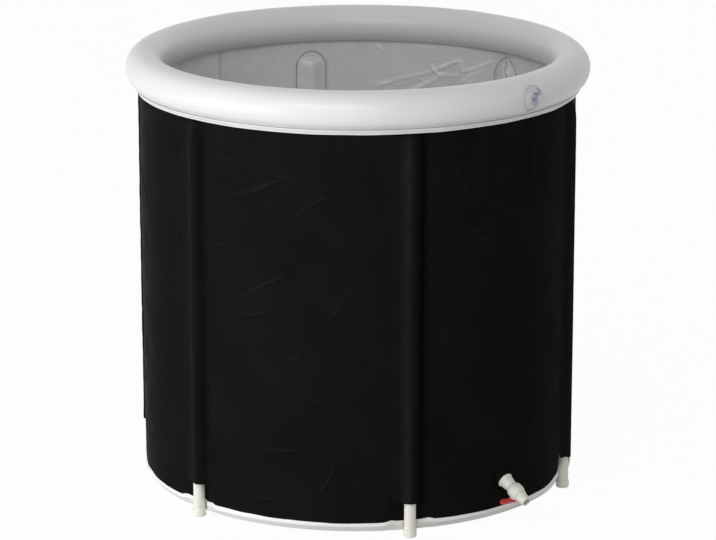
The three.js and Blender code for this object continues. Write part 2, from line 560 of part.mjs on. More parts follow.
// Tap on the spigot: body, seats, ball, stem, lever, screw and outlet, in the drain's frame
function addTap(tub) {
  const bodyStart = SPIGOT_LENGTH + FIT_GAP;
  const bodyEnd = bodyStart + TAP_BODY_LENGTH;
  const seatRadius = SEAT_BORE / 2 + SEAT_WIDTH;
  const cavity = seatRadius + FIT_GAP;
  const cavityStart = SPIGOT_LENGTH + NIPPLE_LENGTH + FIT_GAP;
  const ballCentre = cavityStart + FIT_GAP + SEAT_BACK;
  const bodyRadius = TAP_BODY_DIAMETER / 2;
  const necked = bodyRadius - TAP_BODY_CHAMFER;
  const inlet = NIPPLE_DIAMETER / 2 + FIT_GAP;
  const stemAxis = drainMatrix.clone()
    .multiply(new THREE.Matrix4().makeTranslation(0, 0, ballCentre))
    .multiply(new THREE.Matrix4().makeRotationY(Math.PI / 2));
  const bossEnd = bodyRadius + STEM_BOSS_RISE;
  const stemHole = STEM_DIAMETER + 2 * FIT_GAP;
  const stemBore = rod(stemHole, 0, bossEnd + FIT_GAP, SMALL_SIDES, stemAxis);
  const body = turned([
    [inlet, bodyStart], [necked, bodyStart], [bodyRadius, bodyStart + TAP_BODY_CHAMFER],
    [bodyRadius, bodyEnd - TAP_BODY_CHAMFER], [necked, bodyEnd], [cavity, bodyEnd],
    [cavity, cavityStart], [inlet, cavityStart],
  ], SMALL_SIDES, drainMatrix)
    .add(rod(STEM_BOSS_DIAMETER, cavity + FIT_GAP, bossEnd, SMALL_SIDES, stemAxis))
    .subtract(stemBore);
  tub.add(piece('tap_body', body, 'tapPlastic'));

  const ballRadius = BALL_DIAMETER / 2;
  const seatTouch = (ballRadius + FIT_GAP) * Math.SQRT2;
  const seatBore = SEAT_BORE / 2;
  const seat = (side) => turned([
    [seatBore, ballCentre - side * SEAT_BACK], [seatRadius, ballCentre - side * SEAT_BACK],
    [seatRadius, ballCentre - side * (seatTouch - seatRadius)],
    [seatBore, ballCentre - side * (seatTouch - seatBore)],
  ], SMALL_SIDES, drainMatrix).subtract(stemBore);
  tub.add(piece('tap_seat_in', seat(1), 'seat'));
  tub.add(piece('tap_seat_out', seat(-1), 'seat'));

  const ballPlace = drainMatrix.clone().multiply(new THREE.Matrix4().makeTranslation(0, 0, ballCentre));
  const ballBoreAxis = ballPlace.clone().multiply(new THREE.Matrix4().makeRotationX(Math.PI / 2));
  const sphere = new THREE.SphereGeometry(ballRadius, SMALL_SIDES, SMALL_SIDES / 2);
  sphere.applyMatrix4(ballPlace);
  const tangSlot = new THREE.BoxGeometry(
    2 * (STEM_TANG_DEPTH + FIT_GAP), STEM_TANG_LENGTH + 2 * FIT_GAP, STEM_TANG_WIDTH + 2 * FIT_GAP,
  );
  tangSlot.translate(ballRadius, 0, 0);
  tangSlot.applyMatrix4(ballPlace);
  const ball = solid(sphere)
    .subtract(rod(BALL_BORE, -ballRadius - FIT_GAP, ballRadius + FIT_GAP, SMALL_SIDES, ballBoreAxis))
    .subtract(solid(tangSlot));
  tub.add(piece('tap_ball', ball, 'seat'));

  const leverBottom = bossEnd + FIT_GAP;
  const leverTop = leverBottom + LEVER_THICKNESS;
  const stemTop = leverTop - FIT_GAP;
  const stemBottom = ballRadius + FIT_GAP;
  const tang = new THREE.BoxGeometry(2 * STEM_TANG_DEPTH, STEM_TANG_LENGTH, STEM_TANG_WIDTH);
  tang.translate(stemBottom, 0, 0);
  tang.applyMatrix4(ballPlace);
  const screwHead = leverTop + FIT_GAP;
  const screwEnd = screwHead - SCREW_LENGTH;
  const screwHole = SCREW_SHANK_DIAMETER + 2 * FIT_GAP;
  const stem = rod(STEM_DIAMETER, stemBottom, stemTop, SMALL_SIDES, stemAxis)
    .add(solid(tang))
    .subtract(rod(screwHole, screwEnd - FIT_GAP, screwHead, SMALL_SIDES, stemAxis));
  tub.add(piece('tap_stem', stem, 'tapPlastic'));

  const hub = LEVER_HUB_DIAMETER / 2;
  const tip = LEVER_TIP_DIAMETER / 2;
  const reach = LEVER_REACH - tip;
  const outline = new THREE.Shape();
  outline.absarc(0, 0, hub, -Math.PI / 4, 5 * Math.PI / 4);
  outline.absarc(0, -reach, tip, Math.PI, 2 * Math.PI);
  outline.closePath();
  const leverPlace = stemAxis.clone().multiply(new THREE.Matrix4().makeTranslation(0, 0, leverBottom));
  const lever = pushed(outline, LEVER_THICKNESS, leverPlace)
    .subtract(rod(stemHole, leverBottom - FIT_GAP, leverTop + FIT_GAP, SMALL_SIDES, stemAxis));
  tub.add(piece('tap_lever', lever, 'redPlastic'));

  const shank = SCREW_SHANK_DIAMETER / 2;
  const head = SCREW_HEAD_DIAMETER / 2;
  const screw = turned([
    [0, screwEnd], [shank, screwEnd], [shank, screwHead], [head, screwHead],
    [head, screwHead + SCREW_HEAD_HEIGHT], [0, screwHead + SCREW_HEAD_HEIGHT],
  ], SMALL_SIDES, stemAxis);
  tub.add(piece('lever_screw', screw, 'steel'));

  const insertStart = ballCentre + SEAT_BACK + FIT_GAP;
  const shoulderStart = bodyEnd + FIT_GAP;
  const shoulder = OUTLET_SHOULDER_DIAMETER / 2;
  const outletEnd = shoulderStart + OUTLET_LENGTH;
  const outlet = turned([
    [seatBore, insertStart], [seatRadius, insertStart], [seatRadius, shoulderStart],
    [shoulder, shoulderStart], [shoulder, shoulderStart + OUTLET_SHOULDER_LENGTH],
    [OUTLET_END_DIAMETER / 2, outletEnd], [seatBore, outletEnd],
  ], SMALL_SIDES, drainMatrix);
  tub.add(piece('tap_outlet', outlet, 'tapPlastic'));
}

const tub = new THREE.Group();
tub.rotation.z = FIRST_POLE_AZIMUTH;
addWall(tub);
addBase(tub);
addPoles(tub);
addRing(tub);
addDrain(tub);
addTap(tub);

const coldPlungeTub = new THREE.Group();
coldPlungeTub.add(tub);

export default coldPlungeTub;
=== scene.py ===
# The looks of a portable cold plunge tub: fabric wall on poles, inflated rim ring, air valve and drain tap.
# Metres, +Z up, -Y is the front. Azimuths are measured at the tub's axis from the front towards +X.
import math

import bmesh
import bpy
import numpy as np
from mathutils import Matrix, Vector, noise


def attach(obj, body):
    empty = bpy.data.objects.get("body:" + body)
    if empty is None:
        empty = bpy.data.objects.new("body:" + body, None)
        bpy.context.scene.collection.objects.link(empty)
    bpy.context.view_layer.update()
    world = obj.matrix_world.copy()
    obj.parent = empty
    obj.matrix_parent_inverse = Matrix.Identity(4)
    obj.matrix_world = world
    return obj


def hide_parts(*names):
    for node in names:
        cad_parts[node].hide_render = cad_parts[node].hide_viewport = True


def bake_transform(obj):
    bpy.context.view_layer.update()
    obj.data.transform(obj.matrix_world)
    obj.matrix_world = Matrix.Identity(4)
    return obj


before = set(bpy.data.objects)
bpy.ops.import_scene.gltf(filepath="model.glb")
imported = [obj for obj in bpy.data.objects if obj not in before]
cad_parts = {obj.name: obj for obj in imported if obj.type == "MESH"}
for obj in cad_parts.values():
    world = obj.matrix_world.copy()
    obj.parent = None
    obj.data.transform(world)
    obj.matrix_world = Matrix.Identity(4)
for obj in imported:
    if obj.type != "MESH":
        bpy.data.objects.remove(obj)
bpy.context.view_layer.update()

ROOT = "tub"
UP = Vector((0, 0, 1))
MM = 0.001

# Sizes shared by the pieces, as the model has them
WALL_RADIUS = 0.377
WALL_TOP = 0.700
HEM_TOP = 0.0275
HEM_TOP_RADIUS = 0.3750
TAPER_TOP = 0.055
RING_RADIUS = 0.3675
RING_TUBE = 0.0325
RING_HEIGHT = 0.7325
LINER_RADIUS = 0.369
LINER_BOTTOM = 0.014
LINER_FOOT_TOP = 0.09
POLE_COUNT = 6
FIRST_POLE = math.radians(13.5)
POLE_CIRCLE = 0.373
POLE_RADIUS = 0.010
POLE_SHOULDER = 0.660
POLE_TOP = 0.668
FOOT_RADIUS = 0.0114
FOOT_HEIGHT = 0.013
SLEEVE_BOTTOM = 0.0605
SLEEVE_TOP = 0.6925
PATCH_HALF = 0.032
VALVE_AZIMUTH = math.radians(46.3)
DRAIN_AZIMUTH = math.radians(40.5)
DRAIN_RADIUS = 0.383
DRAIN_HEIGHT = 0.0755
DRAIN_TILT = math.radians(25)
BALL_CENTRE = 0.0305

POLE_PITCH = math.tau / POLE_COUNT
POLE_AZIMUTHS = [FIRST_POLE + i * POLE_PITCH for i in range(POLE_COUNT)]


# Places on the tub

def outward(azimuth):
    return Vector((math.sin(azimuth), -math.cos(azimuth), 0))


def along_wall(azimuth):
    return Vector((math.cos(azimuth), math.sin(azimuth), 0))


def frame_at(origin, x, y, z):
    """A matrix whose axes are x, y and z at the origin."""
    placed = Matrix((x, y, z)).transposed().to_4x4()
    placed.translation = origin
    return placed


def valve_frame():
    """+Z out of the ring's face at the valve, +Y up."""
    out = outward(VALVE_AZIMUTH)
    origin = out * (RING_RADIUS + RING_TUBE) + UP * RING_HEIGHT
    return frame_at(origin, along_wall(VALVE_AZIMUTH), UP, out)


def drain_frame():
    """+Z out along the drain, +X down across it, +Y along the wall."""
    out = outward(DRAIN_AZIMUTH)
    down = -math.sin(DRAIN_TILT) * out - math.cos(DRAIN_TILT) * UP
    axis = math.cos(DRAIN_TILT) * out - math.sin(DRAIN_TILT) * UP
    origin = out * DRAIN_RADIUS + UP * DRAIN_HEIGHT
    return frame_at(origin, down, along_wall(DRAIN_AZIMUTH), axis)


def pole_frame(azimuth):
    out = outward(azimuth)
    return frame_at(out * POLE_CIRCLE, along_wall(azimuth), -out, UP)


# The same places on arrays of points

def azimuths(points):
    return np.arctan2(points[:, 0], -points[:, 1])


def radii(points):
    return np.hypot(points[:, 0], points[:, 1])


def round_points(azimuth, radius, height):
    return np.stack([np.sin(azimuth) * radius, -np.cos(azimuth) * radius, height], axis=1)


def turn_between(azimuth, middle):
    """The signed turn from an azimuth to each of the others, within half a turn."""
    return (azimuth - middle + math.pi) % math.tau - math.pi


def nearest_pole(azimuth):
    """The signed distance along the wall from each azimuth to its nearest pole."""
    return POLE_CIRCLE * ((azimuth - FIRST_POLE + POLE_PITCH / 2) % POLE_PITCH - POLE_PITCH / 2)


# Relief: soft bumps and creases as functions of place, on arrays of numbers

# Where a fold's row has its width, and the rise at which a crest's lighter tint, partly wear and partly
# painted highlight, is full
FOLD_WIDTH = 4
CREST_FULL = 0.0020
CRUMPLE_SPREAD = 0.016


def bell(x, width):
    return np.exp(-(x / width) ** 2)


def step_up(x, start, end):
    t = np.clip((x - start) / (end - start), 0, 1)
    return t * t * (3 - 2 * t)


def domed(height, start, rise):
    """1 up to a height, and from there down to 0 in a round curve."""
    return np.sqrt(1 - np.clip((height - start) / rise, 0, 1) ** 2)


def cloud(points, size, seed):
    """Smooth noise between about -1 and 1 at points in space."""
    shift = Vector((seed * 7.31, seed * 3.17, seed * 5.53))
    return np.array([noise.noise(Vector(p) / size + shift) for p in points])


def uneven(points, depth_and_size, seed):
    """Smooth noise of a depth and a size in metres."""
    depth, size = depth_and_size
    return depth * cloud(points, size, seed)


def in_metres(folds):
    """Rows of folds that have their lengths in millimetres, and their azimuth and tilt in degrees."""
    return [(middle, centre * MM, length * MM, tilt, width * MM, rise * MM, bend * MM)
            for middle, centre, length, tilt, width, rise, bend in folds]


def creases(azimuth, height, radius, folds):
    """Relief of long thin folds, each a row of azimuth, height, length, tilt, width, rise and bend."""
    relief = np.zeros(len(azimuth))
    for middle, centre, length, tilt, width, rise, bend in folds:
        across = radius * turn_between(azimuth, math.radians(middle))
        up = height - centre
        lean = math.radians(tilt)
        along = across * math.cos(lean) + up * math.sin(lean)
        aside = up * math.cos(lean) - across * math.sin(lean)
        aside = aside - bend * (2 * along / length) ** 2
        relief += rise * bell(aside, width) * np.exp(-(2 * along / length) ** 4)
    return relief


def crumpled(azimuth, height, radius, folds):
    """A share from 0 to 1 that is high round the folds."""
    spread = [(middle, centre, 1.5 * length, tilt, CRUMPLE_SPREAD, 0.8, bend)
              for middle, centre, length, tilt, _, _, bend in folds]
    return np.clip(creases(azimuth, height, radius, spread), 0, 1)


def lit_and_worn_crests(relief, power):
    """A share from 0 to 1 that is high on the crests of folds, for their lighter tint: partly wear, partly
    painted highlight.
    """
    return np.clip(relief / CREST_FULL, 0, 1) ** power


# Making and finishing meshes

def chain(bm, points):
    """A line of vertices through (radius, height) points, in the plane of X and Z."""
    made = [bm.verts.new((radius, 0, height)) for radius, height in points]
    return made, [bm.edges.new(pair) for pair in zip(made, made[1:])]


def in_mm(points):
    """A section whose points are given in millimetres."""
    return [(radius * MM, height * MM) for radius, height in points]


def arc(centre, radius, start, end, steps):
    """Points along an arc, with the angles in degrees."""
    turns = [math.radians(start + (end - start) * i / steps) for i in range(steps + 1)]
    return [(centre[0] + radius * math.cos(t), centre[1] + radius * math.sin(t)) for t in turns]


def softened(points, radius, closed=False, steps=3):
    """The outline with each corner replaced by a small curve."""
    corners = [Vector(p) for p in points]
    count = len(corners)
    made = []
    for i, corner in enumerate(corners):
        if not closed and i in (0, count - 1):
            made.append(tuple(corner))
            continue
        before = corners[i - 1] - corner
        after = corners[(i + 1) % count] - corner
        reach = min(radius, before.length * 0.45, after.length * 0.45)
        start = corner + before.normalized() * reach
        end = corner + after.normalized() * reach
        for k in range(steps + 1):
            t = k / steps
            made.append(tuple(start * (1 - t) ** 2 + corner * 2 * t * (1 - t) + end * t * t))
    return made


def turned_round(bm, steps, sectors=8):
    """Turns a line about Z in one sector and copies the sector all round."""
    part = math.tau / sectors
    bmesh.ops.spin(bm, geom=bm.verts[:] + bm.edges[:], cent=(0, 0, 0), axis=UP, angle=part,
                   steps=steps // sectors)
    first = bm.verts[:] + bm.edges[:] + bm.faces[:]
    for k in range(1, sectors):
        copied = bmesh.ops.duplicate(bm, geom=first)["geom"]
        verts = [v for v in copied if isinstance(v, bmesh.types.BMVert)]
        bmesh.ops.rotate(bm, verts=verts, cent=(0, 0, 0), matrix=Matrix.Rotation(k * part, 3, "Z"))
    bmesh.ops.remove_doubles(bm, verts=bm.verts, dist=1e-6)
    bmesh.ops.recalc_face_normals(bm, faces=bm.faces)
    return bm


def spun(points, steps, closed=False):
    """A bmesh turned about Z from a line of (radius, height) points."""
    bm = bmesh.new()
    verts = chain(bm, points)[0]
    if closed:
        bm.edges.new((verts[-1], verts[0]))
    return turned_round(bm, steps)


def turned(section, corner, steps, closed=True):
    """A bmesh turned about Z from a section whose corners are rounded."""
    return spun(softened(section, corner, closed), steps, closed)


def spun_part(points, steps, turn, start):
    """A closed section turned about Z through a part of a turn, with its ends filled."""
    bm = bmesh.new()
    verts, edges = chain(bm, points)
    edges.append(bm.edges.new((verts[-1], verts[0])))
    bmesh.ops.rotate(bm, verts=verts, cent=(0, 0, 0), matrix=Matrix.Rotation(start, 3, "Z"))
    bmesh.ops.spin(bm, geom=verts + edges, cent=(0, 0, 0), axis=UP, angle=turn, steps=steps)
    bmesh.ops.holes_fill(bm, edges=bm.edges, sides=0)
    bmesh.ops.recalc_face_normals(bm, faces=bm.faces)
    return bm


def upright(radius, bottom, top, cuts):
    """A straight upright line of vertices."""
    bm = bmesh.new()
    edges = chain(bm, [(radius, bottom), (radius, top)])[1]
    bmesh.ops.subdivide_edges(bm, edges=edges, cuts=cuts)
    return bm


def strip_grid(columns, rows):
    """A flat grid from -1 to 1 across and up."""
    bm = bmesh.new()
    bmesh.ops.create_grid(bm, x_segments=columns, y_segments=rows, size=1)
    return bm


def pushed(outline, depth):
    """A bmesh of a flat outline in X and Y pushed along +Z."""
    bm = bmesh.new()
    face = bm.faces.new([bm.verts.new((x, y, 0)) for x, y in outline])
    grown = bmesh.ops.extrude_face_region(bm, geom=[face])
    top = [v for v in grown["geom"] if isinstance(v, bmesh.types.BMVert)]
    bmesh.ops.translate(bm, verts=top, vec=(0, 0, depth))
    bmesh.ops.recalc_face_normals(bm, faces=bm.faces)
    return bm


def eased(bm, width, sharp=30, segments=2):
    """Rounds every edge that is sharper than an angle in degrees."""
    limit = math.radians(sharp)
    edges = [e for e in bm.edges if len(e.link_faces) == 2 and e.calc_face_angle() > limit]
    bmesh.ops.bevel(bm, geom=edges, offset=width, offset_type="OFFSET", affect="EDGES",
                    segments=segments, profile=0.5, material=-1, clamp_overlap=True)
    return bm


def points_of(mesh):
    flat = np.empty(len(mesh.vertices) * 3)
    mesh.vertices.foreach_get("co", flat)
    return flat.reshape(-1, 3)


def move_points(mesh, points):
    mesh.vertices.foreach_set("co", points.ravel())
    mesh.update()


def piece(name, bm, material, nodes, body=ROOT, place=None):
    """A bmesh as a finished object that rides on a body and stands for its nodes."""
    if place is not None:
        bmesh.ops.transform(bm, matrix=place, verts=bm.verts)
    mesh = bpy.data.meshes.new(name)
    bm.to_mesh(mesh)
    bm.free()
    mesh.materials.append(material)
    mesh.shade_smooth()
    mesh.set_sharp_from_angle(angle=math.radians(40))
    made = bpy.data.objects.new(name, mesh)
    bpy.context.scene.collection.objects.link(made)
    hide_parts(*nodes)
    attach(made, body)
    return made


def dress(materials):
    """Gives hidden nodes of the model, which stay as they are, their materials."""
    for node, material in materials.items():
        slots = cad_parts[node].data.materials
        slots.clear()
        slots.append(material)


def corners_of(mesh):
    """The number of the vertex at each corner of each face."""
    corners = np.empty(len(mesh.loops), int)
    mesh.loops.foreach_get("vertex_index", corners)
    return corners


def put_uv(mesh, unrolled):
    layer = mesh.uv_layers.new(name="UVMap")
    layer.data.foreach_set("uv", unrolled.astype(np.float32).ravel())


def wrap_uv(made, radius):
    """Unrolls a round piece: metres round the tub and metres up."""
    mesh = made.data
    points = points_of(mesh)[corners_of(mesh)]
    totals = np.empty(len(mesh.polygons), int)
    mesh.polygons.foreach_get("loop_total", totals)
    azimuth = azimuths(points)
    furthest = np.repeat(np.maximum.reduceat(azimuth, np.cumsum(totals) - totals), totals)
    azimuth = furthest + turn_between(azimuth, furthest)
    put_uv(mesh, np.stack([azimuth * radius, points[:, 2]], axis=1))


def flat_uv(made):
    """Unrolls a flat piece as seen from above."""
    put_uv(made.data, points_of(made.data)[corners_of(made.data), :2])


def strip_uv(made, along, height):
    """Unrolls a strip from each vertex's place along the wall and up."""
    put_uv(made.data, np.stack([along, height], axis=1)[corners_of(made.data)])


def face_towards(made, inward=False):
    """Turns an open round sheet so that its faces look away from the tub's axis, or at it."""
    mesh = made.data
    looks_out = sum(face.area * face.normal.xy.dot(face.center.xy) for face in mesh.polygons) > 0
    if looks_out == inward:
        mesh.flip_normals()


def paint(made, name, values):
    """Keeps a number for each vertex, for the material to read."""
    layer = made.data.attributes.new(name, "FLOAT", "POINT")
    layer.data.foreach_set("value", values.astype(np.float32))


def thicken(made, thickness, offset=-1):
    wall = made.modifiers.new("thickness", "SOLIDIFY")
    wall.thickness = thickness
    wall.offset = offset


# Materials

THREADS_PER_METRE = 900
THREAD_DEPTH = 0.00006
HAIRLINE_WIDTH = 0.022


def calculated(tree, operation, *values):
    """The result of a math node that is fed by sockets or plain numbers."""
    node = tree.nodes.new("ShaderNodeMath")
    node.operation = operation
    for socket, value in zip(node.inputs, values):
        if isinstance(value, (int, float)):
            socket.default_value = value
        else:
            tree.links.new(value, socket)
    return node.outputs[0]


class Finish:
    """A material under way: its node tree and its main shader."""

    def __init__(self, name, colour, roughness, specular=0.5):
        self.material = bpy.data.materials.new(name)
        self.material.use_nodes = True
        self.tree = self.material.node_tree
        self.shader = self.tree.nodes["Principled BSDF"]
        self.colour = (*colour, 1)
        self.put("Base Color", self.colour)
        self.put("Roughness", roughness)
        self.put("Specular IOR Level", specular)
        self.bump_before = None

    def put(self, socket, value):
        self.shader.inputs[socket].default_value = value

    def link(self, start, end):
        self.tree.links.new(start, end)

    def add(self, kind, inputs=None, **settings):
        """A node with its settings and the values of its inputs."""
        node = self.tree.nodes.new(kind)
        for key, value in settings.items():
            setattr(node, key, value)
        for socket, value in (inputs or {}).items():
            node.inputs[socket].default_value = value
        return node

    def place(self, source, scale=(1, 1, 1), turn=0):
        """Where a point is, in space for "Object" or on the unrolled sheet for "UV"."""
        where = self.add("ShaderNodeTexCoord")
        mapping = self.add("ShaderNodeMapping", {"Scale": scale, "Rotation": (0, 0, math.radians(turn))})
        self.link(where.outputs[source], mapping.inputs["Vector"])
        return mapping.outputs["Vector"]

    def grain(self, place, scale, detail=4, roughness=0.55, distortion=0):
        texture = self.add("ShaderNodeTexNoise", {"Scale": scale, "Detail": detail, "Roughness": roughness,
                                                  "Distortion": distortion})
        self.link(place, texture.inputs["Vector"])
        return texture.outputs["Fac"]

    def threads(self, place, axis):
        wave = self.add("ShaderNodeTexWave", {"Scale": THREADS_PER_METRE / 20 * math.tau, "Distortion": 0.4,
                                              "Detail": 1}, bands_direction=axis, wave_profile="SIN")
        self.link(place, wave.inputs["Vector"])
        return wave.outputs["Fac"]

    def attribute(self, name):
        return self.add("ShaderNodeAttribute", attribute_name=name).outputs["Fac"]

    def remap(self, value, low, high, from_low=0.3, from_high=0.7):
        spread = self.add("ShaderNodeMapRange", {"From Min": from_low, "From Max": from_high, "To Min": low,
                                                 "To Max": high})
        self.link(value, spread.inputs["Value"])
        return spread.outputs["Result"]

    def tint(self, value, other):
        """Colours the surface from what it was to another colour as the value goes from 0 to 1."""
        mix = self.add("ShaderNodeMix", data_type="RGBA")
        before = self.shader.inputs["Base Color"]
        if before.is_linked:
            self.link(before.links[0].from_socket, mix.inputs["A"])
        else:
            mix.inputs["A"].default_value = self.colour
        mix.inputs["B"].default_value = (*other, 1)
        self.link(value, mix.inputs["Factor"])
        self.link(mix.outputs["Result"], before)

    def mottle(self, place, scale, detail, other):
        """Lets the colour drift to another one in soft patches."""
        self.tint(self.remap(self.grain(place, scale, detail), 0, 1), other)

    def rough(self, value, low, high):
        self.link(self.remap(value, low, high), self.shader.inputs["Roughness"])

    def bump(self, value, depth, strength=1.0):
        """A fine relief of that depth in metres, over any that came before it."""
        node = self.add("ShaderNodeBump", {"Distance": depth, "Strength": strength})
        self.link(value, node.inputs["Height"])
        if self.bump_before:
            self.link(self.bump_before, node.inputs["Normal"])
        self.bump_before = node.outputs["Normal"]
        self.link(self.bump_before, self.shader.inputs["Normal"])

    def hairlines(self, turn, scale, depth, where):
        """Thin curved crease lines in the crumpled places, mostly along one direction of the sheet."""
        place = self.place("UV", scale=(1, 3, 1), turn=turn)
        field = self.grain(place, scale, detail=1.5, roughness=0.5, distortion=0.7)
        away = calculated(self.tree, "ABSOLUTE", calculated(self.tree, "SUBTRACT", field, 0.5))
        line = self.remap(away, 1, 0, 0, HAIRLINE_WIDTH)
        self.bump(calculated(self.tree, "MULTIPLY", line, where), depth)


def coated_fabric(name, colour, other, roughness, specular, weld, crest_wear_and_highlight, hair=0.0012):
    """Woven fabric under a smooth coating, with faint threads, hairline creases and cloudy wear. Its weld
    tint gives weld lines and also painted shade and painted highlight; its crest tint lightens crests, partly
    as wear and partly as painted highlight.
    """
    finish = Finish(name, colour, roughness, specular)
    sheet = finish.place("UV")
    finish.mottle(sheet, 9, 5, other)
    finish.rough(finish.grain(sheet, 26, 6), roughness - 0.06, roughness + 0.08)
    finish.bump(finish.grain(sheet, 60, 6, 0.6), 0.0006, 0.35)
    crumple = finish.attribute("crumple")
    finish.hairlines(-16, 11, hair, crumple)
    finish.hairlines(24, 8, hair, crumple)
    for axis in "XY":
        finish.bump(finish.threads(sheet, axis), THREAD_DEPTH, 0.5)
    finish.tint(finish.attribute("weld"), weld)
    finish.tint(finish.attribute("crest_wear_and_highlight"), crest_wear_and_highlight)
    return finish.material


def smooth_finish(name, colour, other, roughness, drift, gloss, relief, specular=0.5):
    """A smooth surface with soft drifts of colour, uneven gloss and a fine relief. The drift has a noise
    scale and detail, and gloss and relief add their spread and their depth and strength."""
    finish = Finish(name, colour, roughness, specular)
    place = finish.place("Object")
    finish.mottle(place, *drift, other)
    scale, detail, below, above = gloss
    finish.rough(finish.grain(place, scale, detail), roughness - below, roughness + above)
    scale, detail, depth, strength = relief
    finish.bump(finish.grain(place, scale, detail), depth, strength)
    return finish


def soft_vinyl(name, colour, other, roughness, weld):
    """Soft vinyl with a faint orange-peel skin and a thin weld line, which is partly painted shade."""
    finish = smooth_finish(name, colour, other, roughness, (5, 4), (22, 5, 0.05, 0.08),
                           (450, 3, 0.00008, 0.4), specular=0.4)
    finish.tint(finish.attribute("weld"), weld)
    finish.put("Coat Weight", 0.12)
    finish.put("Coat Roughness", 0.22)
    return finish.material


def clear_vinyl(name, colour, other, roughness, through, wavy):
    """Clear soft vinyl with a slight tint and a wavy surface."""
    finish = smooth_finish(name, colour, other, roughness, (60, 3), (120, 4, 0.04, 0.08),
                           (190, 2, wavy, 0.6))
    finish.put("Transmission Weight", through)
    finish.put("IOR", 1.42)
    return finish.material


def moulded(name, colour, other, roughness):
    """Moulded plastic or rubber with a fine matt skin and faint flow marks."""
    return smooth_finish(name, colour, other, roughness, (30, 4), (90, 5, 0.07, 0.1),
                         (1800, 2, 0.00005, 0.5)).material


def pipe_plastic():
    """Extruded pipe: fine draw lines along it and scuffs here and there."""
    finish = Finish("pole_plastic", (0.93, 0.92, 0.84), 0.38)
    lines = finish.place("Object", scale=(1, 1, 0.02))
    finish.bump(finish.grain(lines, 900, 3), 0.00006, 0.4)
    place = finish.place("Object")
    finish.mottle(place, 14, 5, (0.90, 0.88, 0.79))
    finish.tint(finish.remap(finish.grain(place, 130, 6), 0, 0.35, 0.6, 0.75), (0.62, 0.60, 0.54))
    finish.rough(finish.grain(place, 70, 5), 0.3, 0.48)
    return finish.material


def foam_finish():
    """Closed-cell foam with small cells."""
    finish = Finish("closed_cell_foam", (0.78, 0.78, 0.74), 0.9, 0.2)
    place = finish.place("Object")
    cells = finish.add("ShaderNodeTexVoronoi", {"Scale": 500})
    finish.link(place, cells.inputs["Vector"])
    finish.bump(cells.outputs["Distance"], 0.0004, 0.6)
    finish.mottle(place, 12, 4, (0.7, 0.7, 0.65))
    return finish.material


def turned_steel():
    """Steel with fine turning marks."""
    finish = Finish("screw_steel", (0.6, 0.6, 0.6), 0.32)
    finish.put("Metallic", 1.0)
    place = finish.place("Object", scale=(1, 1, 8))
    finish.rough(finish.grain(place, 600, 4), 0.24, 0.42)
    finish.mottle(place, 90, 4, (0.5, 0.5, 0.51))
    return finish.material


# Black fabric: its weld tint is painted shade in the valleys beside the sleeves, and its crest tint is
# painted highlight on the sleeves' lit flanks and on fold crests, where it is partly wear
BLACK = coated_fabric("black_fabric", (0.0074, 0.0075, 0.0068), (0.0100, 0.0101, 0.0090), 0.42, 0.002,
                      weld=(0.0022, 0.0022, 0.0020), crest_wear_and_highlight=(0.0230, 0.0230, 0.0214))
# Grey liner: its weld tint darkens weld lines, and the peaked pocket's creases as painted shade; its crest
# tint lightens fold crests, partly wear and partly painted highlight
GREY = coated_fabric("grey_liner", (0.80, 0.80, 0.785), (0.74, 0.74, 0.725), 0.26, 0.5,
                     weld=(0.16, 0.16, 0.155), crest_wear_and_highlight=(0.95, 0.95, 0.94), hair=0.0004)
# Pale sheet: its weld tint is a painted highlight on the hem's upper band
PALE = coated_fabric("pale_sheet", (0.84, 0.84, 0.82), (0.78, 0.78, 0.76), 0.45, 0.35,
                     weld=(0.96, 0.96, 0.94), crest_wear_and_highlight=(0.9, 0.9, 0.88))
# White vinyl: its weld tint is the dark line at the skirt's seam, partly weld seam and partly painted shade
WHITE = soft_vinyl("white_vinyl", (0.86, 0.86, 0.845), (0.82, 0.82, 0.805), 0.36, weld=(0.22, 0.22, 0.21))
CLEAR = clear_vinyl("clear_soft_vinyl", (0.83, 0.83, 0.845), (0.76, 0.76, 0.785), 0.13, 0.4, 0.0004)
STOPPER = clear_vinyl("stopper_vinyl", (0.66, 0.65, 0.85), (0.50, 0.50, 0.74), 0.08, 0.6, 0.0009)
PIPE = pipe_plastic()
TAP = moulded("tap_plastic", (0.86, 0.85, 0.77), (0.80, 0.79, 0.71), 0.36)
RED = moulded("red_plastic", (0.70, 0.028, 0.043), (0.60, 0.020, 0.032), 0.32)
SEAL = moulded("seal_rubber", (0.028, 0.028, 0.028), (0.02, 0.02, 0.02), 0.7)
SEAT = moulded("seat_plastic", (0.85, 0.85, 0.85), (0.8, 0.8, 0.8), 0.3)
FOAM = foam_finish()
STEEL = turned_steel()


# Wall: how its sheets are drawn in

LINER_FOOT = 0.0085
# The valley beside a sleeve, and how far from the pole's middle it runs
VALLEY_DEPTH = 0.0036
VALLEY_BESIDE = 0.0225
VALLEY_WIDTH = 0.0075
VALLEY_TOP = 0.65
# The recess round a bare leg: full within the core and under the low height, gone past the edge and the top
RECESS_DEPTH = 0.0108
RECESS_CORE, RECESS_EDGE = 0.0110, 0.0430
RECESS_LOW, RECESS_TOP = 0.056, 0.078
# The wall's lower edge: lifted beside each leg, drawn down at it, and lifted most at one azimuth
BESIDE_LEG = 0.033
LEG_LIFT = 0.0034
LEG_DROP = 0.0012
LIFTED_EDGE = math.radians(70)
EDGE_LIFT = 0.0130


def wall_radius(height):
    """The wall's outer radius: upright, then drawn in towards the hem."""
    return HEM_TOP_RADIUS + (WALL_RADIUS - HEM_TOP_RADIUS) * step_up(height, HEM_TOP - 0.03, TAPER_TOP)


def liner_foot(height):
    """How far the liner is drawn in towards the floor."""
    return LINER_FOOT * step_up(-height, -LINER_FOOT_TOP, -LINER_BOTTOM)


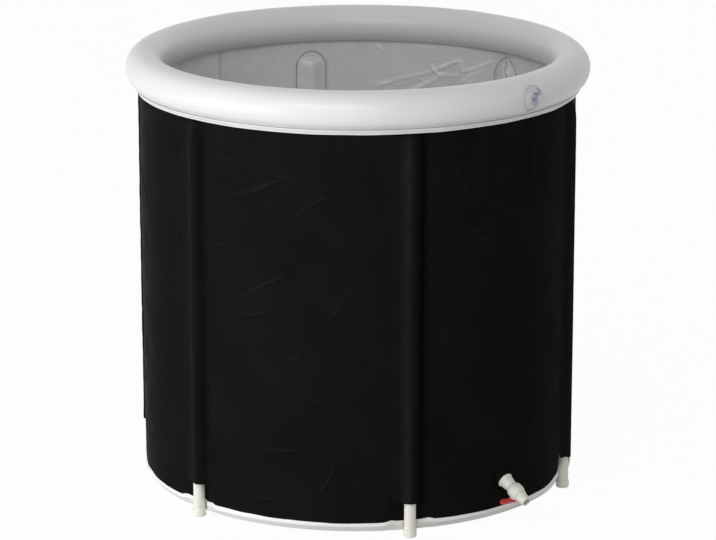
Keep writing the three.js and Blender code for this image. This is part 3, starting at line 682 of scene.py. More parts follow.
def leg_hollow(beside, reach):
    """How far a sheet behind a pole is drawn in, for a hollow of that radius round the pole."""
    hollow = np.sqrt(np.clip(reach ** 2 - beside ** 2, 0, None))
    deep = WALL_RADIUS - POLE_CIRCLE + hollow
    return deep * (1 - step_up(np.abs(beside), reach * 0.72, reach * 1.35))


def at_pole(height):
    """1 as high as the poles reach, and 0 above them."""
    return step_up(-height, -POLE_TOP - 0.006, -POLE_TOP + 0.012)


def valley(beside, height):
    """How far the wall is drawn in along the steep side of a pole."""
    below_top = step_up(-height, -VALLEY_TOP - 0.04, -VALLEY_TOP)
    return VALLEY_DEPTH * bell(beside - VALLEY_BESIDE, VALLEY_WIDTH) * below_top


def leg_recess(beside, height):
    """How far the wall is drawn in round a bare leg, under the end of its sleeve."""
    near = 1 - step_up(np.abs(beside), RECESS_CORE, RECESS_EDGE)
    return RECESS_DEPTH * near * step_up(-height, -RECESS_TOP, -RECESS_LOW)


def edge_wave(azimuth):
    """How far the wall's lower edge is lifted."""
    beside = nearest_pole(azimuth)
    lifted = LEG_LIFT * bell(np.abs(beside) - BESIDE_LEG, 0.0085) - LEG_DROP * bell(beside, 0.017)
    return lifted + EDGE_LIFT * bell(turn_between(azimuth, LIFTED_EDGE), 0.115)


# Wall: outer skin

SKIN_FOLDS = in_metres([
    # azimuth, height, length, tilt, width, rise, bend
    (-24.5, 433, 100, 28, 2.3, 2.6, -3),
    (-22.5, 452, 60, 24, 2.2, -1.1, 3),
    (-27.5, 380, 60, 9, 2.2, 2.2, 4),
    (-17, 309, 50, 36, 2.2, 2, 3),
    (-22.5, 606, 90, 26, 2.5, 2.2, -4),
    (-29, 588, 70, 20, 2.3, 1.8, 4),
    (-35, 635, 70, -32, 2.7, 1.7, 3),
    (-12, 575, 70, 34, 2.7, 1.7, -4),
    (-38.5, 488, 50, 16, 2.2, 1.7, 2),
    (-17, 151, 100, 8, 2.3, 2, 3),
    (-7.4, 105, 80, 64, 2.7, 2, 7),
    (-24.6, 60, 60, 2, 2.3, 2, 2),
    (-5, 400, 80, 52, 2.7, 1.5, 4),
    (-10, 240, 60, -20, 2.3, 1.5, 3),
    (34.5, 640, 150, 86, 9, 3, 4),
    (38.5, 635, 140, 84, 6, -1.1, 5),
    (42.5, 640, 150, 83, 8.5, 3.4, 2),
    (46.5, 640, 130, 80, 6, -1.1, -4),
    (50.5, 645, 120, 82, 8, 2.6, -3),
    (28, 600, 120, -58, 5, 2.7, 8),
    (34, 500, 90, -50, 2.8, 1.8, -5),
    (48, 330, 70, 14, 2.5, 1.3, 3),
    (26, 240, 80, 40, 2.8, 1.1, 4),
    (52, 160, 100, 24, 3.1, 1.3, 5),
    (100, 580, 100, 22, 2.8, 1.7, -4),
    (112, 420, 80, -14, 2.3, 1.5, 3),
    (95, 250, 90, 35, 2.7, 1.5, 5),
    (158, 550, 110, -24, 3, 1.7, 4),
    (170, 380, 70, 12, 2.2, 1.5, -3),
    (150, 180, 90, 42, 2.8, 1.5, 4),
    (220, 600, 100, 28, 2.8, 1.7, 4),
    (232, 430, 80, -18, 2.5, 1.5, 3),
    (215, 220, 90, 8, 2.7, 1.3, 4),
    (280, 550, 100, -26, 2.8, 1.7, -4),
    (292, 360, 80, 20, 2.3, 1.5, 3),
    (276, 170, 90, 36, 2.7, 1.5, 4),
])
SKIN_STEPS = 400
SKIN_ROWS = 236
# How much closer together the columns lie at the front
FRONT_SHARE = 0.5
# Depth and size of puckers under the ring, sags, dimples, and drags low down
SKIN_PUCKER = (0.0005, 0.014)
SKIN_SAG = (0.0016, 0.16)
SKIN_DIMPLE = (0.0006, 0.05)
SKIN_DRAG = (0.0006, 0.045)
SKIN_SLACK = 0.0006
SKIN_POLE_GAP = 0.0022
DRAIN_DENT = 0.0020
# Folds narrower than this get lighter crests, partly wear and partly painted highlight
FINE_FOLD = 0.0045
SKIN_CREST_WEAR_AND_HIGHLIGHT = 0.42


def add_outer_skin():
    bm = upright(WALL_RADIUS, HEM_TOP, WALL_TOP, SKIN_ROWS)
    low = min(bm.verts, key=lambda vert: vert.co.z)
    bm.edges.new((low, bm.verts.new((HEM_TOP_RADIUS - 0.0034, 0, HEM_TOP - 0.0035))))
    turned_round(bm, SKIN_STEPS)
    made = piece("outer_skin_cloth", bm, BLACK, ["outer_skin"])
    points = points_of(made.data)
    azimuth = azimuths(points)
    azimuth = azimuth - FRONT_SHARE * np.sin(azimuth)
    height = points[:, 2]
    beside = nearest_pole(azimuth)
    tucked_in = height < HEM_TOP - 1e-4
    radius = np.where(tucked_in, radii(points), wall_radius(height))
    points = round_points(azimuth, radius, height)

    folds = creases(azimuth, height, WALL_RADIUS, SKIN_FOLDS)
    puckers = uneven(points * (1, 1, 0.16), SKIN_PUCKER, 1) * step_up(height, 0.64, 0.69)
    sag = uneven(points, SKIN_SAG, 2) + uneven(points * (1, 1, 0.7), SKIN_DIMPLE, 3)
    drag = uneven(points * (1, 1, 2.6), SKIN_DRAG, 4) * step_up(-height, -0.30, -0.08)
    clear_of_poles = step_up(np.abs(beside), 0.031, 0.050)
    radius = radius + (folds + puckers + sag + drag - SKIN_SLACK) * clear_of_poles

    hollow = leg_hollow(beside, POLE_RADIUS + SKIN_POLE_GAP) * at_pole(height)
    drawn_in = np.maximum(hollow, leg_recess(beside, height))
    radius -= np.maximum(drawn_in, valley(beside, height))
    beside_drain = WALL_RADIUS * turn_between(azimuth, DRAIN_AZIMUTH)
    radius -= DRAIN_DENT * bell(np.hypot(beside_drain, height - DRAIN_HEIGHT + 0.008), 0.024)
    lifted = edge_wave(azimuth) * step_up(-height, -0.075, -HEM_TOP)
    move_points(made.data, round_points(azimuth, radius, height + lifted))
    face_towards(made)
    wrap_uv(made, WALL_RADIUS)
    paint(made, "crumple", crumpled(azimuth, height, WALL_RADIUS, SKIN_FOLDS) * clear_of_poles)
    # Lighter crests on the fine folds: partly wear, partly painted highlight
    fine_folds = [fold for fold in SKIN_FOLDS if fold[FOLD_WIDTH] < FINE_FOLD]
    fine = creases(azimuth, height, WALL_RADIUS, fine_folds)
    paint(made, "crest_wear_and_highlight", SKIN_CREST_WEAR_AND_HIGHLIGHT * lit_and_worn_crests(fine, 2) * clear_of_poles)


# Wall: sleeves outside and pockets inside, one of each over a pole

def closer_above(share):
    """Spreads rows from 0 to 1 so that they lie closer together towards the top."""
    return share * (1.75 - 0.75 * share)


def tent(beside, sunk, reach, weld):
    """Height of cloth over a pole above its weld: round over the pole, straight down to the weld.
    The pole's axis is sunk that far under the weld, and reach is the cloth's distance from the axis."""
    wide = weld ** 2 - reach ** 2
    slope = (math.sqrt((sunk * weld) ** 2 + wide * (reach ** 2 - sunk ** 2)) - sunk * weld) / wide
    touch = reach * slope / math.hypot(1, slope)
    over = np.sqrt(np.clip(reach ** 2 - beside ** 2, 0, None)) - sunk
    left = weld - np.abs(beside)
    flank = slope * (left + np.sqrt(left ** 2 + 0.003 ** 2)) / 2
    return np.where(np.abs(beside) < touch, over, flank)


SLEEVE_COLUMNS = 52
SLEEVE_ROWS = 170
SLEEVE_REACH = 0.0128
SLEEVE_CLOTH = 0.0009
# The round corners and the bow of a sleeve's lower end
SLEEVE_CORNER = 0.007
SLEEVE_BOW = 0.00096
# How far each sleeve stands off its pole, and how far its crest is pulled along the wall
SLEEVE_SLACK = (0.0012, -0.0004, 0.0020, 0.0015, 0.0135, 0.0012)
SLEEVE_LEAN = (0.0005, 0.002, 0.003, -0.002, 0.016, 0.008)
# How far from the pole each sleeve meets the wall, on the side of smaller and of larger azimuths
SLEEVE_FOOT_BEFORE = (0.0200, 0.0240, 0.0260, 0.0240, 0.0285, 0.0300)
SLEEVE_FOOT_AFTER = (0.0190, 0.0200, 0.0195, 0.0200, 0.0195, 0.0185)
SLEEVE_FOOT_LEAST = 0.0042
# How much lower each sleeve's end hangs on the side of larger azimuths
SLEEVE_DROP = (0, 0.006, 0, 0, 0, 0)
# How dark the painted shade in the valley beside each sleeve is, and how strong the painted highlight on each
# sleeve's lit flank is
SLEEVE_VALLEY_SHADE = (0.80, 0.50, 0.50, 0.50, 0.50, 0.32)
SLEEVE_FLANK_HIGHLIGHT = 0.34
# Depth and size of dimples on the flanks, and the depth of the pinch near the top
SLEEVE_DIMPLE = (0.0007, 0.028)
SLEEVE_PINCH = 0.0030
# How far a sleeve lies off the wall, its weld line stands up and its edge is pressed down
SLEEVE_LAY = 0.0011
SLEEVE_WELD = 0.0001
SLEEVE_EDGE = 0.0010


def add_sleeve(index, azimuth):
    number = index + 1
    made = piece(f"pole_sleeve_cloth_{number}", strip_grid(SLEEVE_COLUMNS, SLEEVE_ROWS), BLACK,
                 [f"pole_sleeve_{number}"])
    flat = points_of(made.data)
    beside = flat[:, 0] * PATCH_HALF
    crown = 1 - (beside / PATCH_HALF) ** 2
    corner = np.clip(np.abs(beside) - PATCH_HALF + SLEEVE_CORNER, 0, SLEEVE_CORNER)
    bottom = SLEEVE_BOTTOM + SLEEVE_CORNER - np.sqrt(SLEEVE_CORNER ** 2 - corner ** 2)
    bottom = bottom + SLEEVE_BOW * crown - SLEEVE_DROP[index] * step_up(beside, -0.022, 0.002)
    height = bottom + (flat[:, 1] + 1) / 2 * (SLEEVE_TOP - bottom)

    angle = azimuth + beside / WALL_RADIUS
    ground = round_points(angle, 1, height)
    dome = domed(height, 0.655, 0.036)
    loose = 1 + 0.05 * cloud(ground * (1, 1, 0.45), 0.09, 11 + index)
    leaning = beside - SLEEVE_LEAN[index] * crown
    reach = SLEEVE_REACH + SLEEVE_SLACK[index]
    sunk = WALL_RADIUS - POLE_CIRCLE
    before = tent(leaning, sunk, reach, max(SLEEVE_FOOT_BEFORE[index], reach + SLEEVE_FOOT_LEAST))
    after = tent(leaning, sunk, reach, max(SLEEVE_FOOT_AFTER[index], reach + SLEEVE_FOOT_LEAST))
    rise = np.where(leaning < 0, before, after) * dome * loose
    on_flank = bell(np.abs(beside) - 0.016, 0.008) * dome
    rise += on_flank * uneven(ground * (1, 1, 1.4), SLEEVE_DIMPLE, 21 + index)
    pinched = bell(height - 0.676, 0.014) * bell(beside - SLEEVE_LEAN[index] - 0.010, 0.005)
    rise -= SLEEVE_PINCH * pinched * dome
    welded = bell(np.abs(beside) - 0.0286, 0.0011)
    edge = step_up(np.abs(beside), 0.0255, PATCH_HALF)
    lying = wall_radius(height) - valley(beside, height) + SLEEVE_LAY
    radius = lying + rise + SLEEVE_WELD * welded - SLEEVE_EDGE * edge
    move_points(made.data, round_points(angle, radius, height))
    strip_uv(made, azimuth * WALL_RADIUS + beside, height)
    # Painted highlight: a lighter band on the flank of each sleeve that faces the key lamp
    lit_flank = bell(leaning + 0.0085, 0.0072) * (0.8 + 0.6 * cloud(ground, 0.03, 91 + index))
    paint(made, "crest_wear_and_highlight", SLEEVE_FLANK_HIGHLIGHT * lit_flank)
    # Painted shade: the valley beside each sleeve is darkened through the dark weld tint of the black fabric
    paint(made, "weld", SLEEVE_VALLEY_SHADE[index] * bell(leaning - 0.0180, 0.0080))
    face_towards(made)
    thicken(made, SLEEVE_CLOTH)


POCKET_COLUMNS = 52
POCKET_ROWS = 150
POCKET_REACH = 0.0138
POCKET_BOTTOM = 0.0245
POCKET_SHOULDER = 0.6515
POCKET_WELD = 0.0235
POCKET_CLOTH = 0.0008
# How far a pocket lies off the liner, and how far its seam lies from its edge
POCKET_LAY = 0.0012
POCKET_SEAM = 0.0042
POCKET_DIMPLE = (0.0006, 0.03)
# How far each pocket's round top is pulled up to a point, and the creases of the one that shows most
POCKET_PEAK = (0.002, 0.001, 0.0125, 0.0015, 0.001, 0.002)
PEAKED_FOLDS = in_metres([
    # azimuth, height, length, tilt, width, rise, bend
    (132.7, 664, 44, 68, 2, 2.2, 3),
    (135.6, 666, 36, -64, 2.4, 1.2, 3),
])


def add_pocket(index, azimuth):
    number = index + 1
    made = piece(f"liner_pocket_cloth_{number}", strip_grid(POCKET_COLUMNS, POCKET_ROWS), GREY,
                 [f"liner_pocket_{number}"])
    flat = points_of(made.data)
    beside = np.sin(flat[:, 0] * math.pi / 2) * PATCH_HALF
    top = POCKET_SHOULDER + np.sqrt(np.clip(PATCH_HALF ** 2 - beside ** 2, 0, None))
    height = POCKET_BOTTOM + closer_above((flat[:, 1] + 1) / 2) * (top - POCKET_BOTTOM)
    above = np.clip(height - POCKET_SHOULDER, 0, None)
    to_edge = PATCH_HALF - np.hypot(beside, above)

    angle = azimuth + beside / LINER_RADIUS
    ground = round_points(angle, 1, height)
    dome = domed(height, 0.650, 0.017)
    rise = tent(beside, POLE_CIRCLE - LINER_RADIUS, POCKET_REACH, POCKET_WELD) * dome
    dimples = uneven(ground * (1, 1, 1.3), POCKET_DIMPLE, 31 + index)
    rise += dimples * step_up(to_edge, 0.006, 0.014) * dome
    groove = bell(to_edge - POCKET_SEAM, 0.0011)
    edge = step_up(-to_edge, -0.0012, 0)
    crease = creases(angle, height, LINER_RADIUS, PEAKED_FOLDS) * step_up(to_edge, 0.002, 0.008)
    lying = LINER_RADIUS - POCKET_LAY - np.maximum(rise, liner_foot(height))
    radius = lying + 0.0006 * groove + 0.0008 * edge - crease
    drawn_up = POCKET_PEAK[index] * step_up(height, POCKET_SHOULDER - 0.02, POCKET_SHOULDER + 0.03)
    height = height + drawn_up * (1 - np.abs(beside) / PATCH_HALF)
    move_points(made.data, round_points(angle, radius, height))
    strip_uv(made, azimuth * LINER_RADIUS + beside, height)
    # The seam groove and the edge are dark weld lines; the creases of the peaked pocket are darkened as well,
    # as painted shade
    paint(made, "weld", np.clip(groove + 0.4 * edge + 260 * crease, 0, 1) * 0.85)
    face_towards(made, inward=True)
    thicken(made, POCKET_CLOTH)


# Wall: inner liner with its wrinkles and lap seam, and the foam behind it

LINER_FOLDS = in_metres([
    # azimuth, height, length, tilt, width, rise, bend
    (154.4, 658, 70, -24, 2.6, 2.2, 3),
    (153.0, 664.5, 60, -20, 2.2, 1.8, -4),
    (143.2, 665, 80, -23, 3, 2.4, 3),
    (170.9, 622.5, 50, -21, 2.2, 1.9, 2),
    (163.4, 637.5, 62, -15, 2.4, 1.7, -2),
    (153.0, 642, 52, -3, 2.6, 1.8, 3),
    (173.5, 683, 24, 40, 1.8, 1.4, 1),
    (157.4, 648, 32, 48, 2, 1.8, 2),
    (149.0, 661, 26, 74, 2, 1.7, 1),
    (146.0, 646, 60, -32, 3, 1.9, -3),
    (160.5, 622, 80, -28, 3, 1.8, 3),
    (150.0, 615, 90, -34, 3.6, 1.9, 4),
    (166.0, 600, 70, -38, 3.4, 1.6, -3),
    (120, 640, 80, 30, 4.5, 1.4, 4),
    (112, 600, 100, -28, 5, 1.4, 5),
    (178, 560, 90, 20, 5, 1, 4),
    (208, 600, 80, -22, 4.6, 1, 4),
    (236, 560, 100, 26, 5, 1.2, 5),
    (262, 620, 80, -30, 4.6, 1.2, 4),
    (330, 580, 100, 24, 5, 1.2, 5),
    (40, 600, 100, -24, 5, 1.2, 4),
    (350, 420, 120, 40, 5.5, 1.2, 5),
    (100, 300, 120, -36, 5.5, 1.2, 6),
    (220, 320, 120, 32, 5.5, 1.2, 5),
    (285, 240, 120, -28, 5.5, 1.2, 5),
])
LINER_STEPS = 560
LINER_ROWS = 156
# How much closer together the columns lie on the far side, which shows most
FAR_SIDE = math.radians(160)
FAR_SHARE = 0.5
# Depth and size of sags, dimples, and the crumple on the far side
LINER_SAG = (0.0013, 0.14)
LINER_DIMPLE = (0.0005, 0.045)
LINER_CRUMPLE = (0.0011, 0.032)
CRUMPLE_AZIMUTH = math.radians(152)
LINER_SLACK = 0.0006
LINER_POLE_GAP = 0.0034
LINER_CREST_WEAR_AND_HIGHLIGHT = 0.8
LAP_SEAM = math.radians(222.5)
LAP_RISE = 0.0006


def add_liner():
    bm = upright(LINER_RADIUS, LINER_BOTTOM, WALL_TOP, LINER_ROWS)
    turned_round(bm, LINER_STEPS)
    made = piece("inner_liner_cloth", bm, GREY, ["inner_liner"])
    points = points_of(made.data)
    azimuth = azimuths(points)
    azimuth = azimuth - FAR_SHARE * np.sin(azimuth - FAR_SIDE)
    tall = WALL_TOP - LINER_BOTTOM
    height = LINER_BOTTOM + tall * closer_above((points[:, 2] - LINER_BOTTOM) / tall)
    points = round_points(azimuth, LINER_RADIUS, height)
    beside = nearest_pole(azimuth)

    clear_of_poles = step_up(np.abs(beside), 0.030, 0.042)
    folds = creases(azimuth, height, LINER_RADIUS, LINER_FOLDS)
    sag = uneven(points, LINER_SAG, 41) + uneven(points, LINER_DIMPLE, 42)
    far = step_up(-np.abs(turn_between(azimuth, CRUMPLE_AZIMUTH)), -0.32, -0.05) * step_up(height, 0.45, 0.62)
    crumple = np.abs(uneven(points * (1, 1, 1.2), LINER_CRUMPLE, 43)) * far
    lap = turn_between(azimuth, LAP_SEAM) * LINER_RADIUS
    lapped = step_up(lap, -0.002, 0.001) * step_up(-lap, -0.016, -0.012)
    relief = (folds + sag + crumple + LINER_SLACK) * clear_of_poles + LAP_RISE * lapped
    under_ring = step_up(-height, -WALL_TOP, -WALL_TOP + 0.012)
    radius = LINER_RADIUS - liner_foot(height) - relief * under_ring
    behind = leg_hollow(beside, POLE_RADIUS + LINER_POLE_GAP) - (WALL_RADIUS - LINER_RADIUS)
    radius -= np.clip(behind, 0, None) * at_pole(height)
    move_points(made.data, round_points(azimuth, radius, height))
    face_towards(made, inward=True)
    wrap_uv(made, LINER_RADIUS)
    paint(made, "weld", 0.5 * bell(lap, 0.0020))
    paint(made, "crumple", crumpled(azimuth, height, LINER_RADIUS, LINER_FOLDS) * clear_of_poles)
    # Lighter fold crests: partly stress whitening, partly painted highlight
    paint(made, "crest_wear_and_highlight", LINER_CREST_WEAR_AND_HIGHLIGHT * lit_and_worn_crests(folds, 1.5) * clear_of_poles)


FOAM_SECTION = in_mm([(370.8, 94), (374.9, 94), (374.9, 698.5), (370.8, 698.5)])
FOAM_MARGIN = 0.036 / POLE_CIRCLE
BASE_FOAM_SECTION = in_mm([(0, 2.2), (324, 2.2), (352, 11.2), (352, 12.1), (0, 12.1)])


def add_foam():
    """Insulation panels between skin and liner, and the base's own."""
    for index, azimuth in enumerate(POLE_AZIMUTHS):
        number = index + 1
        bm = spun_part(softened(FOAM_SECTION, 0.0012, closed=True), 24, POLE_PITCH - 2 * FOAM_MARGIN,
                       azimuth + FOAM_MARGIN - math.pi / 2)
        made = piece(f"wall_foam_panel_{number}", bm, FOAM, [f"wall_foam_{number}"])
    made = piece("base_foam_pad", turned(BASE_FOAM_SECTION, 0.001, 96, closed=False), FOAM,
                 ["base_foam"])


# Base

HEM_SECTION = in_mm([
    (323.5, 0.4), (330, 0.6), (345, 3.8), (359, 8), (368, 10.6), (375.6, 20), (376.8, 22.2), (376.4, 24),
    (375, 28.4), (374, 29.4), (372.5, 28.6),
])
HEM_RIPPLE = (0.0007, 0.03)
HEM_WAVE = (0.0006, 0.09)
FOOT_GAP = 0.0012
SHEET_RADIUS = 0.3242
SHEET_SECTION = [(0, 0), (0.3225, 0), (SHEET_RADIUS, 0.0007), (0.3225, 0.0012), (0, 0.0012)]
FLOOR_SECTION = [(0.02 * i, 0.0125) for i in range(17)] + [
    (0.335, 0.0127), (0.346, 0.0132), (0.354, 0.0148), (0.3592, 0.0185), (0.3605, 0.0215),
]
FLOOR_SAG = (0.0009, 0.11)
FLOOR_DIMPLE = (0.0005, 0.04)


def add_hem():
    made = piece("bottom_hem_cloth", turned(HEM_SECTION, 0.0035, 480, closed=False), PALE,
                 ["bottom_hem"])
    points = points_of(made.data)
    azimuth = azimuths(points)
    beside = nearest_pole(azimuth)
    height = points[:, 2]
    up = step_up(height, 0.004, HEM_TOP)
    ripple = uneven(points, HEM_RIPPLE, 51) + uneven(points, HEM_WAVE, 52)
    radius = radii(points) + up * (ripple - leg_recess(beside, 0))
    hollow = POLE_CIRCLE - np.sqrt(np.clip((FOOT_RADIUS + FOOT_GAP) ** 2 - beside ** 2, 0, None))
    shoulder = step_up(np.abs(beside), FOOT_RADIUS * 0.72, FOOT_RADIUS * 1.9)
    radius = np.minimum(radius, hollow) * (1 - shoulder) + radius * shoulder
    lifted = np.maximum(height + edge_wave(azimuth) * up, 0.0003)
    move_points(made.data, round_points(azimuth, radius, lifted))
    face_towards(made)
    wrap_uv(made, WALL_RADIUS)
    # Painted highlight: the hem's upward-facing upper band is lightened through the pale weld tint
    paint(made, "weld", step_up(height, 0.0205, 0.0220))


def add_base_sheet():
    made = piece("base_sheet_cloth", turned(SHEET_SECTION, 0.0005, 160, closed=False), PALE,
                 ["base_sheet"])
    flat_uv(made)


def add_liner_floor():
    made = piece("liner_floor_cloth", spun(FLOOR_SECTION, 200), GREY, ["liner_floor"])
    points = points_of(made.data)
    radius = radii(points)
    level = step_up(-radius, -0.345, -0.30)
    points[:, 2] += level * (0.0010 + uneven(points, FLOOR_SAG, 61) + uneven(points, FLOOR_DIMPLE, 62))
    move_points(made.data, points)
    if made.data.polygons[0].normal.z < 0:
        made.data.flip_normals()
    flat_uv(made)
    paint(made, "weld", 0.25 * bell(radius - 0.338, 0.004))


# Ring and skirt

RING_STREAKS = [
    # azimuth, turn round the tube from the outside up, length, tilt, width, rise, bend
    (158, 78, 100, 10, 3, 0.7, 3),
    (150, 88, 120, 8, 3.4, 0.8, -3),
    (145, 72, 80, 14, 2.8, 0.6, 2),
    (166, 96, 80, 6, 3, 0.5, 2),
    (-70, 60, 80, -8, 3.4, 0.5, 2),
    (80, 70, 90, 8, 3.4, 0.5, 2),
    (215, 84, 100, -10, 3.4, 0.5, 3),
    (262, 66, 100, 8, 3.4, 0.5, 3),
]
RING_SWELL = (0.0004, 0.2)
RING_DIMPLE = (0.00018, 0.06)
# Fine gathers on the ring's inner side, and the dip round the valve
GATHER_COUNT = 150
GATHER_DEPTH = 0.00022
VALVE_DIP = 0.0010
SKIRT_SECTION = in_mm([
    (383.6, 708.8), (385.8, 706.2), (384.7, 704.6), (385.2, 703.6), (385.6, 702.6), (385, 701),
    (382.8, 698.6), (380.8, 696.2), (380.8, 695.2), (379.6, 694.3), (378.2, 694.8), (377.9, 697),
    (379.8, 700.4), (382.8, 704.4), (382.8, 707.6),
])
SKIRT_SEAM_SHADE = 0.7038
SKIRT_RIPPLE = (0.0006, 0.06)
SKIRT_WAVE = (0.0007, 0.16)
SKIRT_FLARE = (0.0008, 0.035)


def add_ring():
    section = arc((RING_RADIUS, RING_HEIGHT), RING_TUBE, -90, 270, 64)[:-1]
    made = piece("air_ring_vinyl", spun(section, 512, closed=True), WHITE, ["air_ring"])
    points = points_of(made.data)
    azimuth = azimuths(points)
    away = radii(points) - RING_RADIUS
    turn = np.arctan2(points[:, 2] - RING_HEIGHT, away)
    swell = uneven(points, RING_SWELL, 71) + uneven(points, RING_DIMPLE, 72)
    gathers = np.sin(azimuth * GATHER_COUNT + 4 * cloud(points, 0.09, 73))
    gathered = step_up(-away, 0.012, 0.03) * step_up(cloud(points, 0.12, 74), 0.0, 0.4)
    swell += GATHER_DEPTH * gathers * gathered
    round_tube = np.where(turn < -math.pi / 2, turn + math.tau, turn) * RING_TUBE
    streaks = [(middle, math.radians(at) * RING_TUBE / MM, *fold) for middle, at, *fold in RING_STREAKS]
    swell += creases(azimuth, round_tube, RING_RADIUS, in_metres(streaks))
    valve = valve_frame()
    mouth = (points - np.array(valve.translation)) @ np.array(valve.to_3x3())
    swell -= VALVE_DIP * bell(radii(mouth) - 0.0235, 0.004) * step_up(mouth[:, 2], -0.03, -0.01)
    tube = RING_TUBE + swell
    move_points(made.data, round_points(azimuth, RING_RADIUS + np.cos(turn) * tube,
                                        RING_HEIGHT + np.sin(turn) * tube))


def add_skirt():
    section = softened(SKIRT_SECTION, 0.0012, closed=True, steps=2)
    made = piece("rim_skirt_vinyl", spun(section, 480, closed=True), WHITE, ["rim_skirt"])
    points = points_of(made.data)
    height = points[:, 2]
    # A thin dark line at the seam under the ring: partly the weld seam, partly painted shade of the crevice
    # between ring and skirt
    paint(made, "weld", bell(height - SKIRT_SEAM_SHADE, 0.0009))
    low = step_up(-height, -0.7045, -0.6925)
    below = points * (1, 1, 0)
    wave = uneven(below, SKIRT_RIPPLE, 81) + uneven(below, SKIRT_WAVE, 82)
    radius = radii(points) + low * (0.0004 + uneven(below, SKIRT_FLARE, 83))
    move_points(made.data, round_points(azimuths(points), radius, height + low * wave))


# Poles

POLE_STEPS = 40
POLE_BORE = POLE_RADIUS - 0.0018
PIPE_BOTTOM, PIPE_TOP = 0.0030, 0.6545
PIPE_SECTION = [
    (POLE_BORE, PIPE_BOTTOM), (POLE_RADIUS, PIPE_BOTTOM), (POLE_RADIUS, PIPE_TOP), (POLE_BORE, PIPE_TOP),
]
FOOT_CUP = POLE_RADIUS + 0.0002
FOOT_SECTION = [
    (0, 0), (0.0098, 0), (FOOT_RADIUS, 0.0016), (FOOT_RADIUS, FOOT_HEIGHT - 0.0012),
    (FOOT_RADIUS - 0.0005, FOOT_HEIGHT), (FOOT_CUP, FOOT_HEIGHT), (FOOT_CUP, 0.0024), (0, 0.0024),
]
CAP_PLUG = POLE_BORE - 0.0003
CAP_BOTTOM, CAP_RIM = 0.643, 0.6552
CAP_SECTION = [
    (0, CAP_BOTTOM), (CAP_PLUG - 0.001, CAP_BOTTOM), (CAP_PLUG, CAP_BOTTOM + 0.002), (CAP_PLUG, CAP_RIM),
    (POLE_RADIUS, CAP_RIM),
]
# A quarter of an ellipse from the cap's rim to its top
CAP_DOME = [(POLE_RADIUS * x, POLE_SHOULDER + (POLE_TOP - POLE_SHOULDER) * z)
            for x, z in arc((0, 0), 1, 0, 90, 8)[:-1]] + [(0, POLE_TOP)]


def add_pole(index, azimuth):
    number = index + 1
    pipe = turned(PIPE_SECTION, 0.0006, POLE_STEPS)
    foot = turned(FOOT_SECTION, 0.0006, POLE_STEPS, closed=False)
    cap = spun(softened(CAP_SECTION, 0.0004) + CAP_DOME, POLE_STEPS)
    parts = (("pipe", "pole", pipe), ("foot_cap", "pole_foot", foot), ("top_cap", "pole_cap", cap))
    for kind, node, bm in parts:
        piece(f"pole_{kind}_{number}", bm, PIPE, [f"{node}_{number}"], f"pole_set_{number}",
              pole_frame(azimuth))


# Air valve, in its own frame on the ring's face

VALVE_SECTION = in_mm([
    (5.4, -21.8), (7, -21.8), (7, -8.2), (10.8, -8), (11, -4.6), (11.2, -0.6), (17, -0.2), (21.8, -0.4),
    (22.4, 0.2), (21.6, 1.2), (19, 3), (16, 5), (13.4, 6), (11.6, 6), (10.2, 4.6), (9.6, 1.2), (9.4, -5),
    (9.2, -6.6), (5.6, -6.6), (5.4, -8),
])
PLUG_SECTION = in_mm([
    (0, -16.8), (4.6, -17), (5.1, -15), (5.1, -6.4), (8.6, -6), (9.1, -5), (9.1, -2.2), (8.4, -1.2),
    (6.2, -1.2), (5, -2), (3, -2), (0, -1.8),
])
TAB_OUTLINE = in_mm([(-5.8, 0), (-5.2, 4.2), *arc((0, 4.6), 4.2, 165, 15, 10), (5.2, 4.2), (5.8, 0)])
TAB_THICKNESS = 0.0014
TAB_TURN = math.radians(35)
# The tether's ends as distances from the valve's axis, and its directions in the valve's frame
TETHER_START, TETHER_END = 0.0068, 0.0186
TETHER_ALONG = Vector((0.64, 0.77, 0))
TETHER_ACROSS = Vector((-0.77, 0.64, 0))
TETHER_ARCH = 0.0072
TETHER_THICKNESS = 0.0010


def on_ring(made, lift):
    """Lays a flat disc from the valve's plane on the ring's curved face."""
    forward = np.array(valve_frame())
    inverse = np.array(valve_frame().inverted())
    local = points_of(made.data) @ inverse[:3, :3].T + inverse[:3, 3]
    rim = RING_RADIUS + RING_TUBE
    drop_up = RING_TUBE - np.sqrt(np.clip(RING_TUBE ** 2 - local[:, 1] ** 2, 0, None))
    drop_side = rim - np.sqrt(np.clip(rim ** 2 - local[:, 0] ** 2, 0, None))
    near_face = step_up(local[:, 2], -0.004, -0.0005)
    local[:, 2] += near_face * (lift - drop_up - drop_side)
    move_points(made.data, local @ forward[:3, :3].T + forward[:3, 3])


def add_valve():
    place = valve_frame()
    made = piece("air_valve_disc", turned(VALVE_SECTION, 0.0008, 72), CLEAR, ["air_valve_base"],
                 place=place)
    on_ring(made, 0.0003)
    piece("air_valve_stopper", turned(PLUG_SECTION, 0.0006, 56, closed=False), STOPPER, ["air_valve_plug"],
          "air_plug", place)
    tab = eased(pushed(TAB_OUTLINE, TAB_THICKNESS), 0.0004)
    stand = place @ Matrix.Translation((0, 0, -0.0022)) @ Matrix.Rotation(TAB_TURN, 4, "Z")
    stand = stand @ Matrix.Rotation(math.pi / 2, 4, "X") @ Matrix.Translation((0, 0, -TAB_THICKNESS / 2))
    piece("air_valve_tab", tab, STOPPER, [], "air_plug", stand)


